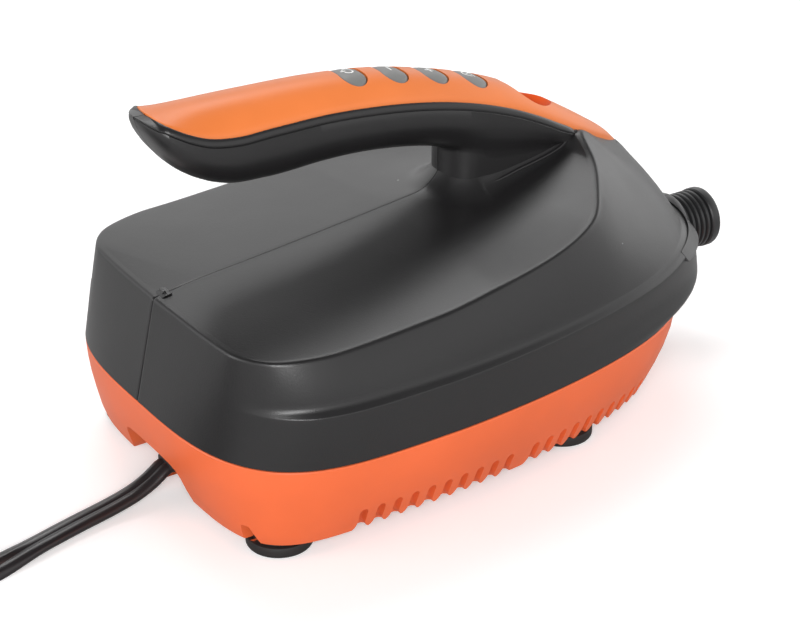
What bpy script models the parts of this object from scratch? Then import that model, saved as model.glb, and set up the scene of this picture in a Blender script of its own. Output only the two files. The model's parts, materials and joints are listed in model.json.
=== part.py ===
"""Twelve volt two-stage air mattress pump, shaped like a clothes iron.

Metres, +Z up. +X points to the nozzle and +Y to the left side. The pump stands on its
feet at z = 0, and its length and width are centred on the origin.
"""

import math

import bmesh
import bpy
import numpy as np
from mathutils import Matrix, Vector

MM = 0.001
GAP = 0.3 * MM

# Overall body.
LENGTH = 230 * MM
WIDTH = 140 * MM
HANDLE_TOP = 128.5 * MM
SEAM_HEIGHT = 33.7 * MM
DECK_HEIGHT = 67.0 * MM
WALL = 2.4 * MM
TRAY_WALL = 4.6 * MM
NOZZLE_REACH = 17.5 * MM
TRAY_BOTTOM = 5.0 * MM
TRAY_DRAFT = 8.0 * MM

# Feet and screws.
FOOT_RADIUS = 10.5 * MM
SCREW_RADIUS = 1.5 * MM
POST_RADIUS = 5.0 * MM

# Openings in the tray.
NOTCH_WIDTH = 36 * MM
NOTCH_TOP = 16.5 * MM
NOTCH_DEPTH = 17 * MM
VENT_PITCH = 6.2 * MM
VENT_WIDTH = 3.4 * MM
VENT_TOP = 13.5 * MM
VENT_DEPTH = 2.2 * MM
VENTS_PER_GROUP = 10
GROUP_GAP = 5 * MM
INLET_SLOTS = 5

# Buttons and display.
BUTTON_PITCH = 15.3 * MM
BUTTON_HALF_LENGTH = 7.4 * MM
BUTTON_HALF_WIDTH = 4.4 * MM
BUTTON_DEPTH = 8.0 * MM
DISPLAY_HALF_LENGTH = 9.0 * MM
DISPLAY_HALF_WIDTH = 6.6 * MM

# Nozzle.
NOZZLE_HEIGHT = SEAM_HEIGHT + 4.8 * MM
NOZZLE_BORE = 6.5 * MM
NOZZLE_ROOT = 8.5 * MM
NOZZLE_RIB = 10.3 * MM
NOZZLE_INSIDE = 30 * MM
MANIFOLD_DEPTH = 14 * MM
DUCT_SIDES = (15 * MM, 28.5 * MM)
INLET_BACK = 4 * MM
INLET_Y = -2 * MM
BOSS_RADIUS = 11.8 * MM

# Blower.
IMPELLER_RADIUS = 27 * MM
BLOWER_MOTOR_RADIUS = 16 * MM
BLOWER_Y = 14 * MM

# Piston compressor.
PISTON_RADIUS = 8.7 * MM
CRANK_RADIUS = 6.0 * MM
ROD_LENGTH = 24 * MM
GEAR_MODULE = 0.9 * MM
GEAR_TEETH = 34
PINION_TEETH = 10
COMPRESSOR_MOTOR_RADIUS = 14 * MM
CRANK_Y = -3 * MM
CRANK_Z = 26 * MM

# Supply cord, a flat twin lead.
CORD_RADIUS = 3.0 * MM
COIL_MEAN_RADIUS = 44 * MM
COIL_WIDTH = 22 * MM
COIL_HEIGHT = 17 * MM

# Worked out from the sizes above.
REAR = -LENGTH / 2
CORD_ROUTE = tuple((REAR + x, y, z) for x, y, z in (
    (0.0104, -0.0034, 0.0110), (0.0065, -0.0035, 0.0108), (0.0015, -0.0041, 0.0076),
    (-0.0045, -0.0048, 0.0043), (-0.0135, -0.0047, 0.0030), (-0.0265, -0.0068, 0.0030),
    (-0.0415, -0.0110, 0.0030), (-0.0557, -0.0155, 0.0030), (-0.0700, -0.0202, 0.0030),
    (-0.0800, -0.0254, 0.0030), (-0.0865, -0.0296, 0.0030),
))
COIL_CENTRE = (REAR - 0.1250, 0.0150)
NOZZLE_TIP = LENGTH / 2
NOSE = NOZZLE_TIP - NOZZLE_REACH
HALF = WIDTH / 2
PLAN_CENTRE = REAR + 71 * MM
SEAM_TIP = NOSE - 22.5 * MM
BUTTON_START = NOSE - 134.1 * MM
DISPLAY_X = NOSE - 65.5 * MM
BLOWER_X = REAR + 58 * MM
CRANK_X = NOSE - 71 * MM
MANIFOLD_FACE = NOSE - NOZZLE_INSIDE - 1.5 * MM - 2 * GAP
SPLIT = GAP / 2
GLAND_RADIUS = 4.2 * MM
GLAND_Y = CORD_ROUTE[0][1]
GLAND_Z = CORD_ROUTE[0][2]
VOLUTE_RADIUS = IMPELLER_RADIUS + 7 * MM

COLOURS = {
    "orange": ((0.86, 0.20, 0.055), 0.38, 0.0),
    "orange_cover": ((0.88, 0.27, 0.08), 0.33, 0.0),
    "black": ((0.030, 0.030, 0.032), 0.45, 0.0),
    "nozzle": ((0.022, 0.022, 0.023), 0.5, 0.0),
    "button": ((0.19, 0.20, 0.19), 0.45, 0.0),
    "lens": ((0.02, 0.02, 0.025), 0.08, 0.0),
    "board": ((0.03, 0.16, 0.07), 0.5, 0.0),
    "rubber": ((0.02, 0.02, 0.02), 0.8, 0.0),
    "steel": ((0.55, 0.55, 0.56), 0.35, 1.0),
    "brass": ((0.70, 0.48, 0.20), 0.35, 1.0),
    "nylon": ((0.75, 0.74, 0.70), 0.5, 0.0),
    "alloy": ((0.62, 0.63, 0.64), 0.4, 1.0),
    "cord": ((0.015, 0.014, 0.015), 0.45, 0.0),
}


def clear_scene():
    for obj in list(bpy.data.objects):
        bpy.data.objects.remove(obj, do_unlink=True)


def material(kind):
    made = bpy.data.materials.get(kind)
    if made:
        return made
    colour, roughness, metallic = COLOURS[kind]
    made = bpy.data.materials.new(kind)
    made.use_nodes = True
    shader = made.node_tree.nodes["Principled BSDF"]
    shader.inputs["Base Color"].default_value = (*colour, 1)
    shader.inputs["Roughness"].default_value = roughness
    shader.inputs["Metallic"].default_value = metallic
    made.diffuse_color = (*colour, 1)
    return made


def finish(name, bm, kind, sharp=35):
    """Make an object of this mesh, with its faces pointing out."""
    bmesh.ops.remove_doubles(bm, verts=bm.verts, dist=1e-6)
    bmesh.ops.dissolve_degenerate(bm, edges=bm.edges, dist=1e-6)
    bmesh.ops.recalc_face_normals(bm, faces=bm.faces)
    mesh = bpy.data.meshes.new(name)
    bm.to_mesh(mesh)
    bm.free()
    mesh.shade_smooth()
    mesh.set_sharp_from_angle(angle=math.radians(sharp))
    obj = bpy.data.objects.new(name, mesh)
    bpy.context.collection.objects.link(obj)
    if kind:
        mesh.materials.append(material(kind))
    return obj


def centre_on(obj, point):
    """Put the object's origin at this point without moving its shape."""
    obj.data.transform(Matrix.Translation(-Vector(point)))
    obj.location = point
    return obj


def helper(obj):
    obj.hide_render = True
    obj.display_type = "WIRE"
    return obj


def combine(obj, other, operation):
    """Boolean with the manifold solver: the exact one leaves slivers where these thin shells cross."""
    helper(other)
    step = obj.modifiers.new(operation.lower(), "BOOLEAN")
    step.operation = operation
    step.solver = "MANIFOLD"
    step.object = other
    return obj


def cut(obj, *cutters):
    for cutter in cutters:
        combine(obj, cutter, "DIFFERENCE")
    return obj


def add(obj, *others):
    for other in others:
        combine(obj, other, "UNION")
    return obj


def loft(name, rings, kind=None, open_end=False):
    """A closed solid through rings of points; an open end is one whose last ring is pinched shut."""
    bm = bmesh.new()
    rows = [[bm.verts.new(point) for point in ring] for ring in rings]
    for low, high in zip(rows, rows[1:]):
        for i in range(len(low)):
            j = (i + 1) % len(low)
            bm.faces.new((low[i], low[j], high[j], high[i]))
    bm.faces.new(rows[0])
    if not open_end:
        bm.faces.new(rows[-1])
    return finish(name, bm, kind)


def block(name, low, high, kind=None, bevel=0.0):
    bm = bmesh.new()
    size = Vector(high) - Vector(low)
    middle = (Vector(high) + Vector(low)) / 2
    bmesh.ops.create_cube(bm, size=1, matrix=Matrix.Translation(middle) @ Matrix.Diagonal((*size, 1)))
    if bevel:
        bmesh.ops.bevel(bm, geom=bm.edges, offset=bevel, segments=1, affect="EDGES")
    return finish(name, bm, kind)


AXES = {
    "X": Matrix(((0, 0, 1), (1, 0, 0), (0, 1, 0))).to_4x4(),
    "Y": Matrix(((0, 1, 0), (0, 0, 1), (1, 0, 0))).to_4x4(),
    "Z": Matrix.Identity(4),
}


def turned(name, profile, centre, kind=None, axis="Z", sides=24):
    """A solid of revolution from (radius, height) points, which run round its section."""
    bm = bmesh.new()
    verts = [bm.verts.new((radius, 0, height)) for radius, height in profile]
    edges = [bm.edges.new((a, b)) for a, b in zip(verts, verts[1:])]
    if min(profile[0][0], profile[-1][0]) > 0:
        edges.append(bm.edges.new((verts[-1], verts[0])))
    bmesh.ops.spin(bm, geom=verts + edges, cent=(0, 0, 0), axis=(0, 0, 1), steps=sides,
                   angle=math.tau, use_merge=True, use_duplicate=False)
    bmesh.ops.transform(bm, matrix=Matrix.Translation(centre) @ AXES[axis], verts=bm.verts)
    return finish(name, bm, kind)


def rod(name, radius, start, end, kind=None, axis="Z", sides=20):
    """A plain cylinder along one axis between two points that share the other two coordinates."""
    length = (Vector(end) - Vector(start)).length
    return turned(name, ((0, 0), (radius, 0), (radius, length), (0, length)), start, kind, axis, sides)


def prism(name, outline, low, high, kind=None):
    """An outline of (x, y) points, extruded between two heights."""
    rings = [[(x, y, height) for x, y in outline] for height in (low, high)]
    return loft(name, rings, kind)


def oval(x, y, half_x, half_y, count=20):
    """A rounded slot shape, longer along Y, with full round ends."""
    straight = half_y - half_x
    points = []
    for i in range(count):
        angle = math.tau * i / count
        side = straight if math.sin(angle) >= 0 else -straight
        points.append((x + half_x * math.cos(angle), y + side + half_x * math.sin(angle)))
    return points


def smooth_table(table, value):
    """Values of a table at one place along its first column, on a smooth curve through its rows."""
    keys = np.array([row[0] for row in table], float)
    rows = np.array([row[1:] for row in table], float)
    value = min(max(value, keys[0]), keys[-1])
    k = int(min(max(np.searchsorted(keys, value) - 1, 0), len(keys) - 2))
    slopes = np.diff(rows, axis=0) / np.diff(keys)[:, None]
    inner = [slopes[0]]
    for before, after in zip(slopes, slopes[1:]):
        same = before * after > 0
        safe = np.where(same, before + after, 1)
        inner.append(np.where(same, 2 * before * after / safe, 0))
    inner.append(slopes[-1])
    width = keys[k + 1] - keys[k]
    t = (value - keys[k]) / width
    return (
        rows[k] * (2 * t**3 - 3 * t**2 + 1) + rows[k + 1] * (3 * t**2 - 2 * t**3)
        + width * inner[k] * (t**3 - 2 * t**2 + t) + width * inner[k + 1] * (t**3 - t**2)
    )


def half_outline(tip, rear, half, front_power, side_power, count):
    """The right-hand half of the iron-shaped plan, from the front centre to the rear centre."""
    dense = []
    for i in range(721):
        angle = math.pi * i / 720
        front = angle < math.pi / 2
        reach = (tip - PLAN_CENTRE) if front else (rear - PLAN_CENTRE)
        power, spread = (front_power, side_power) if front else (3.9, 3.3)
        x = PLAN_CENTRE + reach * abs(math.cos(angle)) ** (2 / power)
        dense.append((x, -half * abs(math.sin(angle)) ** (2 / spread)))
    dense = np.array(dense)
    steps = np.hypot(*np.diff(dense, axis=0).T)
    run = np.concatenate([[0], np.cumsum(steps)]) / steps.sum()
    at = np.linspace(0, 1, count)
    return np.column_stack([np.interp(at, run, dense[:, 0]), np.interp(at, run, dense[:, 1])])


def mirrored(points):
    """A full ring from its right-hand half, whose first and last points are on the centre plane."""
    points = [tuple(point) for point in points]
    other = [(x, -y, z) for x, y, z in reversed(points[1:-1])]
    return points + other


RING = 21


def level(z, tip, rear, half, front_power=1.6, side_power=4.4):
    outline = half_outline(tip, rear, half, front_power, side_power, RING)
    return [(x, y, z) for x, y in outline]


# The deck's edge: share of the way round from the nose, x from the seam's tip,
# distance in from the body's side, height above the deck's edge at the rear.
DECK_EDGE = (
    (0.00, -3.0 * MM, 70.0 * MM, 11.5 * MM),
    (0.05, -8.0 * MM, 66.4 * MM, 13.5 * MM),
    (0.10, -17.0 * MM, 62.5 * MM, 18.0 * MM),
    (0.16, -26.5 * MM, 59.0 * MM, 23.5 * MM),
    (0.20, -30.0 * MM, 48.0 * MM, 18.8 * MM),
    (0.25, -36.5 * MM, 37.0 * MM, 15.0 * MM),
    (0.32, -48.0 * MM, 24.0 * MM, 10.5 * MM),
    (0.40, -68.0 * MM, 16.0 * MM, 7.0 * MM),
    (0.50, -95.0 * MM, 11.5 * MM, 4.0 * MM),
    (0.57, -117.0 * MM, 9.5 * MM, 2.0 * MM),
    (0.70, -152.0 * MM, 9.7 * MM, 0.0 * MM),
    (0.775, -170.0 * MM, 16.0 * MM, -0.3 * MM),
    (0.85, -179.0 * MM, 32.0 * MM, -0.2 * MM),
    (1.00, -182.5 * MM, 70.0 * MM, 0.5 * MM),
)
# The deck's centre line: share, x from the seam's tip, height above the same level.
DECK_SPINE = (
    (0.00, -3.0 * MM, 11.5 * MM),
    (0.05, -8.0 * MM, 13.5 * MM),
    (0.10, -17.0 * MM, 18.0 * MM),
    (0.16, -28.0 * MM, 21.5 * MM),
    (0.25, -45.0 * MM, 19.0 * MM),
    (0.32, -57.0 * MM, 17.0 * MM),
    (0.40, -71.0 * MM, 14.0 * MM),
    (0.50, -97.0 * MM, 10.5 * MM),
    (0.70, -148.0 * MM, 5.0 * MM),
    (0.85, -171.0 * MM, 2.6 * MM),
    (1.00, -182.5 * MM, 0.5 * MM),
)


def deck_edge(share, inset=0.0):
    x, inward, rise = smooth_table(DECK_EDGE, share)
    y = -max(HALF - inward - inset, 0)
    if share in (0, 1):
        y = 0
    return SEAM_TIP + x, y, DECK_HEIGHT + rise


def body_rings(inset=0.0):
    """Rings of the upper body, from the seam up its walls and in over the deck."""
    z = SEAM_HEIGHT
    low = z - 3 * MM if inset else z
    rings = [
        level(low, SEAM_TIP - inset, REAR + inset, HALF - inset),
        level(z + 3.3 * MM, NOSE - 7 * MM - 2 * inset, REAR + inset, HALF - inset, 1.5, 3.6),
        level(z + 9 * MM, NOSE - 1.5 * MM - 2 * inset, REAR + inset, HALF - inset - 0.2 * MM, 1.45, 3.1),
        level(z + 17 * MM, NOSE - 3.5 * MM - 2 * inset, REAR + 0.4 * MM + inset,
              HALF - 0.8 * MM - inset, 1.5, 3.2),
        level(z + 20 * MM, NOSE - 6 * MM - 2 * inset, REAR + 1.6 * MM + inset,
              HALF - 3.4 * MM - inset, 1.5, 3.2),
    ]
    shares = [i / (RING - 1) for i in range(RING)]
    edge = [deck_edge(share) for share in shares]
    spine = []
    for share in shares:
        x, rise = smooth_table(DECK_SPINE, share)
        spine.append((SEAM_TIP + x, 0.0, DECK_HEIGHT + rise))
    for part in (0.0, 0.3, 0.65, 1.0):
        ring = []
        for outer, middle in zip(edge, spine):
            hollow = 0.9 + 0.9 * min(max((outer[0] + 20 * MM) / (45 * MM), 0), 1)
            grow = part**hollow if part else 0.0
            x = outer[0] + (middle[0] - outer[0]) * part
            y = outer[1] * (1 - part)
            height = outer[2] + (middle[2] - outer[2]) * grow
            if inset:
                centre_x = PLAN_CENTRE + 20 * MM
                x += (centre_x - x) / (abs(centre_x - x) + 20 * MM) * inset * 1.6
                y *= 1 - 1.7 * inset / HALF
                height -= inset * 1.1
            ring.append((x, y, height))
        rings.append(ring)
    return [mirrored(ring) for ring in rings]


# The handle: share of the way from its rear tip to its front end, half width of the orange
# cover, and how far below the handle's top its edge, crown and underside lie.
HANDLE = (
    (0.000, 0.9 * MM, 1.1 * MM, 0.7 * MM, 3.5 * MM),
    (0.012, 4.6 * MM, 0.9 * MM, 0.4 * MM, 7.0 * MM),
    (0.028, 7.4 * MM, 1.8 * MM, 0.2 * MM, 10.5 * MM),
    (0.055, 10.8 * MM, 3.7 * MM, 0.1 * MM, 16.0 * MM),
    (0.092, 13.0 * MM, 6.2 * MM, 0.0 * MM, 21.5 * MM),
    (0.142, 14.0 * MM, 8.0 * MM, 0.1 * MM, 25.4 * MM),
    (0.222, 13.7 * MM, 8.5 * MM, 0.3 * MM, 27.0 * MM),
    (0.340, 13.0 * MM, 9.1 * MM, 1.1 * MM, 26.8 * MM),
    (0.442, 12.4 * MM, 10.5 * MM, 3.4 * MM, 28.2 * MM),
    (0.517, 12.0 * MM, 12.5 * MM, 6.4 * MM, 30.6 * MM),
    (0.566, 11.6 * MM, 14.7 * MM, 8.6 * MM, 33.0 * MM),
    (0.590, 11.4 * MM, 16.2 * MM, 10.0 * MM, 37.5 * MM),
    (0.601, 11.3 * MM, 17.0 * MM, 10.8 * MM, 44.5 * MM),
    (0.612, 11.3 * MM, 17.6 * MM, 11.4 * MM, 52.5 * MM),
    (0.690, 11.0 * MM, 20.9 * MM, 16.5 * MM, 52.5 * MM),
    (0.771, 10.6 * MM, 28.3 * MM, 23.4 * MM, 52.5 * MM),
    (0.857, 9.3 * MM, 36.4 * MM, 31.7 * MM, 53.0 * MM),
    (0.922, 7.0 * MM, 43.2 * MM, 38.9 * MM, 55.0 * MM),
    (0.970, 4.0 * MM, 48.5 * MM, 45.6 * MM, 57.0 * MM),
    (0.995, 1.4 * MM, 50.9 * MM, 50.0 * MM, 58.0 * MM),
)
HANDLE_START = REAR + 2.3 * MM
HANDLE_LENGTH = SEAM_TIP - 2.5 * MM - HANDLE_START


def handle_at(share):
    half, edge, crown, under = smooth_table(HANDLE, share)
    return (HANDLE_START + HANDLE_LENGTH * share, half,
            HANDLE_TOP - edge, HANDLE_TOP - crown, HANDLE_TOP - under)


def crown_height(x, y=0.0):
    """Height of the handle cover's outer surface over a place in the plan."""
    _, half, edge, crown, _ = handle_at((x - HANDLE_START) / HANDLE_LENGTH)
    return crown - (crown - edge) * min(abs(y) / half, 1) ** 2


def handle_shares():
    return [row[0] for row in HANDLE]


def handle_body(name):
    """Outer shape of the black handle, flat on top, with the neck reaching into the body."""
    rings = []
    for share in handle_shares():
        x, half, edge, _, under = handle_at(share)
        depth = edge - under
        side = ((half + 0.4 * MM, edge), (half + 1.3 * MM, edge - 0.12 * depth),
                (half + 1.9 * MM, edge - 0.35 * depth), (half + 0.7 * MM, edge - 0.62 * depth),
                (half * 0.66, edge - 0.9 * depth), (half * 0.3, edge - depth))
        right = [(x, -y, z) for y, z in side]
        left = [(x, y, z) for y, z in reversed(side)]
        rings.append(right + left)
    return loft(name, rings)


def crowned(name, side, low, lift=0.0, kind=None, first=0, last=None, thin=0.0):
    """A lid that follows the handle's top: flat below, crowned above."""
    rings = []
    for share in handle_shares()[first:last]:
        x, half, edge, crown, _ = handle_at(share)
        y = max(half - side, 0.35 * half)
        rise = (crown - edge) * min(y / half, 1) ** 2
        ring = [(x, -y, edge - low)]
        for part in (-1.0, -0.6, -0.2, 0.2, 0.6, 1.0):
            ring.append((x, y * part, crown - rise * part**2 + lift - thin))
        ring.append((x, y, edge - low))
        rings.append(ring)
    return loft(name, rings, kind)


def half_space(name, side):
    """A large box on one side of the centre plane."""
    far = 0.5
    low, high = (SPLIT, far) if side > 0 else (-far, -SPLIT)
    return block(name, (-far, low, -far), (far, high, far))


def post_places():
    return [(x, side * y) for x, y in post_columns() for side in (1, -1)]


def post_columns():
    return ((REAR + 22.5 * MM, HALF - 23 * MM), (SEAM_TIP - 56 * MM, HALF - 27 * MM))


def housing():
    """Both black halves: a shell with the hollow handle, the nozzle boss and four screw posts."""
    shells = []
    for side, name in ((1, "housing_left"), (-1, "housing_right")):
        shell = loft(name, body_rings(), "black", True)
        add(shell, handle_body(name + "_handle"))
        cut(shell, loft(name + "_room", body_rings(WALL), None, True))
        cut(shell, crowned(name + "_cover_seat", -0.01 * MM, 3 * MM, 12 * MM))
        cut(shell, handle_room(name + "_handle_room"))
        boss = rod(name + "_boss", BOSS_RADIUS, (SEAM_TIP + 1.5 * MM, 0, NOZZLE_HEIGHT),
                   (NOSE, 0, NOZZLE_HEIGHT), axis="X", sides=28)
        bore = turned(name + "_bore", (
            (0, -NOZZLE_INSIDE), (NOZZLE_ROOT + 2 * MM, -NOZZLE_INSIDE), (NOZZLE_ROOT + 2 * MM, -9 * MM),
            (NOZZLE_ROOT + GAP, -9 * MM), (NOZZLE_ROOT + GAP, 5 * MM), (0, 5 * MM),
        ), (NOSE, 0, NOZZLE_HEIGHT), axis="X")
        add(shell, boss)
        cut(shell, bore)
        for number, (x, y) in enumerate(post_columns()):
            top = DECK_HEIGHT + (-1 * MM, 9 * MM)[number]
            post = rod(f"{name}_post_{number}", POST_RADIUS, (x, side * y, SEAM_HEIGHT + 0.2 * MM),
                       (x, side * y, top), sides=14)
            hole = rod(f"{name}_hole_{number}", SCREW_RADIUS + GAP, (x, side * y, 0),
                       (x, side * y, top - 8 * MM), sides=12)
            add(shell, post)
            cut(shell, hole)
        combine(shell, half_space(name + "_side", side), "INTERSECT")
        shells.append(shell)
    return shells


def handle_room(name):
    """The hollow inside the handle and down through its neck, open to the body below."""
    rings = []
    for share in handle_shares()[4:17]:
        x, half, edge, _, under = handle_at(share)
        low = max(under + 3 * MM, HANDLE_TOP - 64 * MM)
        if share > 0.62:
            low = HANDLE_TOP - 64 * MM
        y = half - 2 * MM
        rings.append([(x, -y, edge + 1 * MM), (x, -y, low + 5 * MM), (x, -0.5 * y, low),
                      (x, 0.5 * y, low), (x, y, low + 5 * MM), (x, y, edge + 1 * MM)])
    return loft(name, rings)


def button_xs():
    return [BUTTON_START + i * BUTTON_PITCH for i in range(4)]


def handle_cover():
    cover = crowned("handle_cover", GAP, 2.7 * MM, 0, "orange_cover", 1, -1)
    cut(cover, crowned("cover_hollow", 2.2 * MM, 4 * MM, 0, None, 3, -3, 2 * MM))
    for number, x in enumerate(button_xs()):
        low = crown_height(x) - 15 * MM
        hole = prism(f"button_hole_{number}", oval(x, 0, BUTTON_HALF_WIDTH + GAP, BUTTON_HALF_LENGTH + GAP),
                     low, low + 30 * MM)
        cut(cover, hole)
    low = crown_height(DISPLAY_X)
    pocket = prism("display_hole", oval_along_x(DISPLAY_X, DISPLAY_HALF_LENGTH, DISPLAY_HALF_WIDTH),
                   low - 20 * MM, low + 20 * MM)
    cut(cover, pocket)
    return cover


def oval_along_x(x, half_x, half_y, count=20):
    return [(x + py, px) for px, py in oval(0, 0, half_y, half_x, count)]


def buttons():
    names = ("button_power", "button_minus", "button_plus", "button_unit")
    for name, x in zip(names, button_xs()):
        top = crown_height(x)
        button = prism(name, oval(x, 0, BUTTON_HALF_WIDTH, BUTTON_HALF_LENGTH),
                       top - BUTTON_DEPTH, top + 5 * MM, "button")
        centre_on(button, (x, 0, top))
        combine(button, crowned(name + "_crown", -1 * MM, 20 * MM, 0.3 * MM), "INTERSECT")


def tilt_at(x):
    """Slope angle of the handle's crown along X."""
    step = 6 * MM
    return math.atan2(crown_height(x - step) - crown_height(x + step), 2 * step)


def tilted_block(name, centre, size, tilt, kind, bevel=0.0):
    half = Vector(size) / 2
    obj = block(name, -half, half, kind, bevel)
    obj.data.transform(Matrix.Rotation(tilt, 4, "Y"))
    obj.location = centre
    return obj


def controls():
    """Display and the board with its four switches, inside the handle."""
    low = crown_height(DISPLAY_X) - 6.5 * MM
    tilt = tilt_at(DISPLAY_X)
    lens = tilted_block("display_lens", (DISPLAY_X, 0, low),
                        (2 * DISPLAY_HALF_LENGTH - 4 * MM, 2 * DISPLAY_HALF_WIDTH - 1.2 * MM, 1.2 * MM),
                        tilt, "lens", 0.3 * MM)
    down = Matrix.Rotation(tilt, 3, "Y") @ Vector((0, 0, -1))
    tilted_block("display_module", lens.location + down * 3.0 * MM,
                 (2 * DISPLAY_HALF_LENGTH - 5 * MM, 2 * DISPLAY_HALF_WIDTH - 2 * MM, 3.2 * MM),
                 tilt, "nylon", 0.3 * MM)
    xs = button_xs()
    tops = [crown_height(x) for x in (xs[0], xs[-1])]
    board_tilt = math.atan2(tops[0] - tops[1], xs[-1] - xs[0])
    below = BUTTON_DEPTH + 7.6 * MM
    middle = Vector(((xs[0] + xs[-1]) / 2, 0, (tops[0] + tops[1]) / 2 - below))
    tilted_block("control_board", middle, (xs[-1] - xs[0] + 12 * MM, 15 * MM, 1.4 * MM), board_tilt, "board")
    names = ("switch_power", "switch_minus", "switch_plus", "switch_unit")
    for name, x in zip(names, xs):
        face = middle.z - (x - middle.x) * math.tan(board_tilt)
        base = face + 0.7 * MM / math.cos(board_tilt) + GAP
        body = tilted_block(name, (x, 0, base + 1.9 * MM), (6 * MM, 6 * MM, 3.4 * MM), board_tilt, "black")
        gap_to_button = crown_height(x) - BUTTON_DEPTH - 1.5 * MM
        plunger = rod(name + "_plunger", 1.7 * MM, (x, 0, base + 1.5 * MM), (x, 0, gap_to_button), sides=12)
        add(body, plunger)


def tray_rings(inset=0.0):
    floor = TRAY_BOTTOM + (2.4 * MM if inset else 0)
    top = SEAM_HEIGHT - GAP + (5 * MM if inset else 0)
    rings = []
    for z, draft in ((floor, TRAY_DRAFT + 1.5 * MM), (floor + 2 * MM, TRAY_DRAFT - 0.4 * MM),
                     (SEAM_HEIGHT - 6 * MM, 0.7 * MM), (top, 0.0)):
        rings.append(mirrored(level(z, SEAM_TIP - inset - draft, REAR + inset + draft * 0.85,
                                    HALF - inset - draft)))
    return rings


def vent_section():
    """Outline of one flute in its own upright plane: square below, round on top."""
    half = VENT_WIDTH / 2
    arch = [(half * math.cos(math.pi * step / 3), VENT_TOP - half + half * math.sin(math.pi * step / 3))
            for step in range(4)]
    return arch + [(-half, TRAY_BOTTOM - 3 * MM), (half, TRAY_BOTTOM - 3 * MM)]


def vent_places():
    """Place and heading of each flute along the tray's lower right edge."""
    outline = half_outline(SEAM_TIP - TRAY_DRAFT, REAR + TRAY_DRAFT * 0.85, HALF - TRAY_DRAFT, 1.6, 4.4, 400)
    run = np.concatenate([[0], np.cumsum(np.hypot(*np.diff(outline, axis=0).T))])
    start = float(np.interp(-(REAR + 42.5 * MM), -outline[:, 0], run))
    places = []
    for i in range(2 * VENTS_PER_GROUP):
        at = start - i * VENT_PITCH - (i // VENTS_PER_GROUP) * GROUP_GAP
        here, ahead = (
            Vector([float(np.interp(place, run, outline[:, k])) for k in (0, 1)]) for place in (at, at - 1 * MM)
        )
        heading = ahead - here
        places.append((here, math.atan2(heading.y, heading.x)))
    return places


def vent_cutters():
    """One joined cutter for the rows of blind flutes along both lower sides."""
    bm = bmesh.new()
    section = vent_section()
    for here, heading in vent_places():
        place = Matrix.Translation((here.x, here.y, 0)) @ Matrix.Rotation(heading, 4, "Z")
        for side in (1, -1):
            rows = []
            for across in (-5.5 * MM, VENT_DEPTH):
                points = [place @ Vector((u, across, v)) for u, v in section]
                rows.append([bm.verts.new((p.x, p.y * side, p.z)) for p in points])
            for k in range(len(section)):
                after = (k + 1) % len(section)
                bm.faces.new((rows[0][k], rows[0][after], rows[1][after], rows[1][k]))
            bm.faces.new(rows[0])
            bm.faces.new(rows[1])
    return finish("vent_cutter", bm, None)


def base_tray():
    tray = loft("base_tray", tray_rings(), "orange")
    cut(tray, loft("tray_room", tray_rings(TRAY_WALL)))
    for number, (x, y) in enumerate(post_places()):
        post = rod(f"tray_post_{number}", POST_RADIUS, (x, y, TRAY_BOTTOM + 1 * MM),
                   (x, y, SEAM_HEIGHT - GAP), sides=14)
        hole = rod(f"tray_hole_{number}", SCREW_RADIUS + GAP, (x, y, 0), (x, y, SEAM_HEIGHT + 2 * MM), sides=12)
        add(tray, post)
        cut(tray, hole)
    # The walled recess behind the cord's notch.
    deep = REAR + NOTCH_DEPTH
    half = NOTCH_WIDTH / 2
    box = block("notch_box", (REAR + 5 * MM, -half - WALL, TRAY_BOTTOM + 0.6 * MM),
                (deep + WALL, half + WALL, NOTCH_TOP + WALL))
    add(tray, box)
    arch = [(y, z) for y, z in ((-half, -1 * MM), (half, -1 * MM), (half, NOTCH_TOP - 3 * MM),
                                (half - 3 * MM, NOTCH_TOP), (-half + 3 * MM, NOTCH_TOP),
                                (-half, NOTCH_TOP - 3 * MM))]
    notch = loft("notch_cut", [[(x, y, z) for y, z in arch] for x in (REAR - 5 * MM, deep)])
    cut(tray, notch)
    cut(tray, rod("gland_hole", GLAND_RADIUS + GAP, (deep - 2 * MM, GLAND_Y, GLAND_Z),
                  (deep + 8 * MM, GLAND_Y, GLAND_Z), axis="X", sides=16))
    for side in (1, -1):
        y = side * (HALF - 20 * MM)
        small = block(f"corner_notch_{side}", (REAR - 3 * MM, y - 3.5 * MM, 0),
                      (REAR + 20 * MM, y + 3.5 * MM, TRAY_BOTTOM + 5.5 * MM))
        cut(tray, small)
    cut(tray, rod("nozzle_relief", NOZZLE_ROOT + 1 * MM, (SEAM_TIP - 15 * MM, 0, NOZZLE_HEIGHT),
                  (SEAM_TIP + 5 * MM, 0, NOZZLE_HEIGHT), axis="X", sides=20))
    cut(tray, vent_cutters())
    for number in range(INLET_SLOTS):
        x = BLOWER_X + (number - (INLET_SLOTS - 1) / 2) * 6 * MM
        slot = block(f"inlet_{number}", (x - 1.5 * MM, BLOWER_Y - 12 * MM, TRAY_BOTTOM - 2 * MM),
                     (x + 1.5 * MM, BLOWER_Y + 12 * MM, TRAY_BOTTOM + 4 * MM))
        cut(tray, slot)
    return tray


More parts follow.
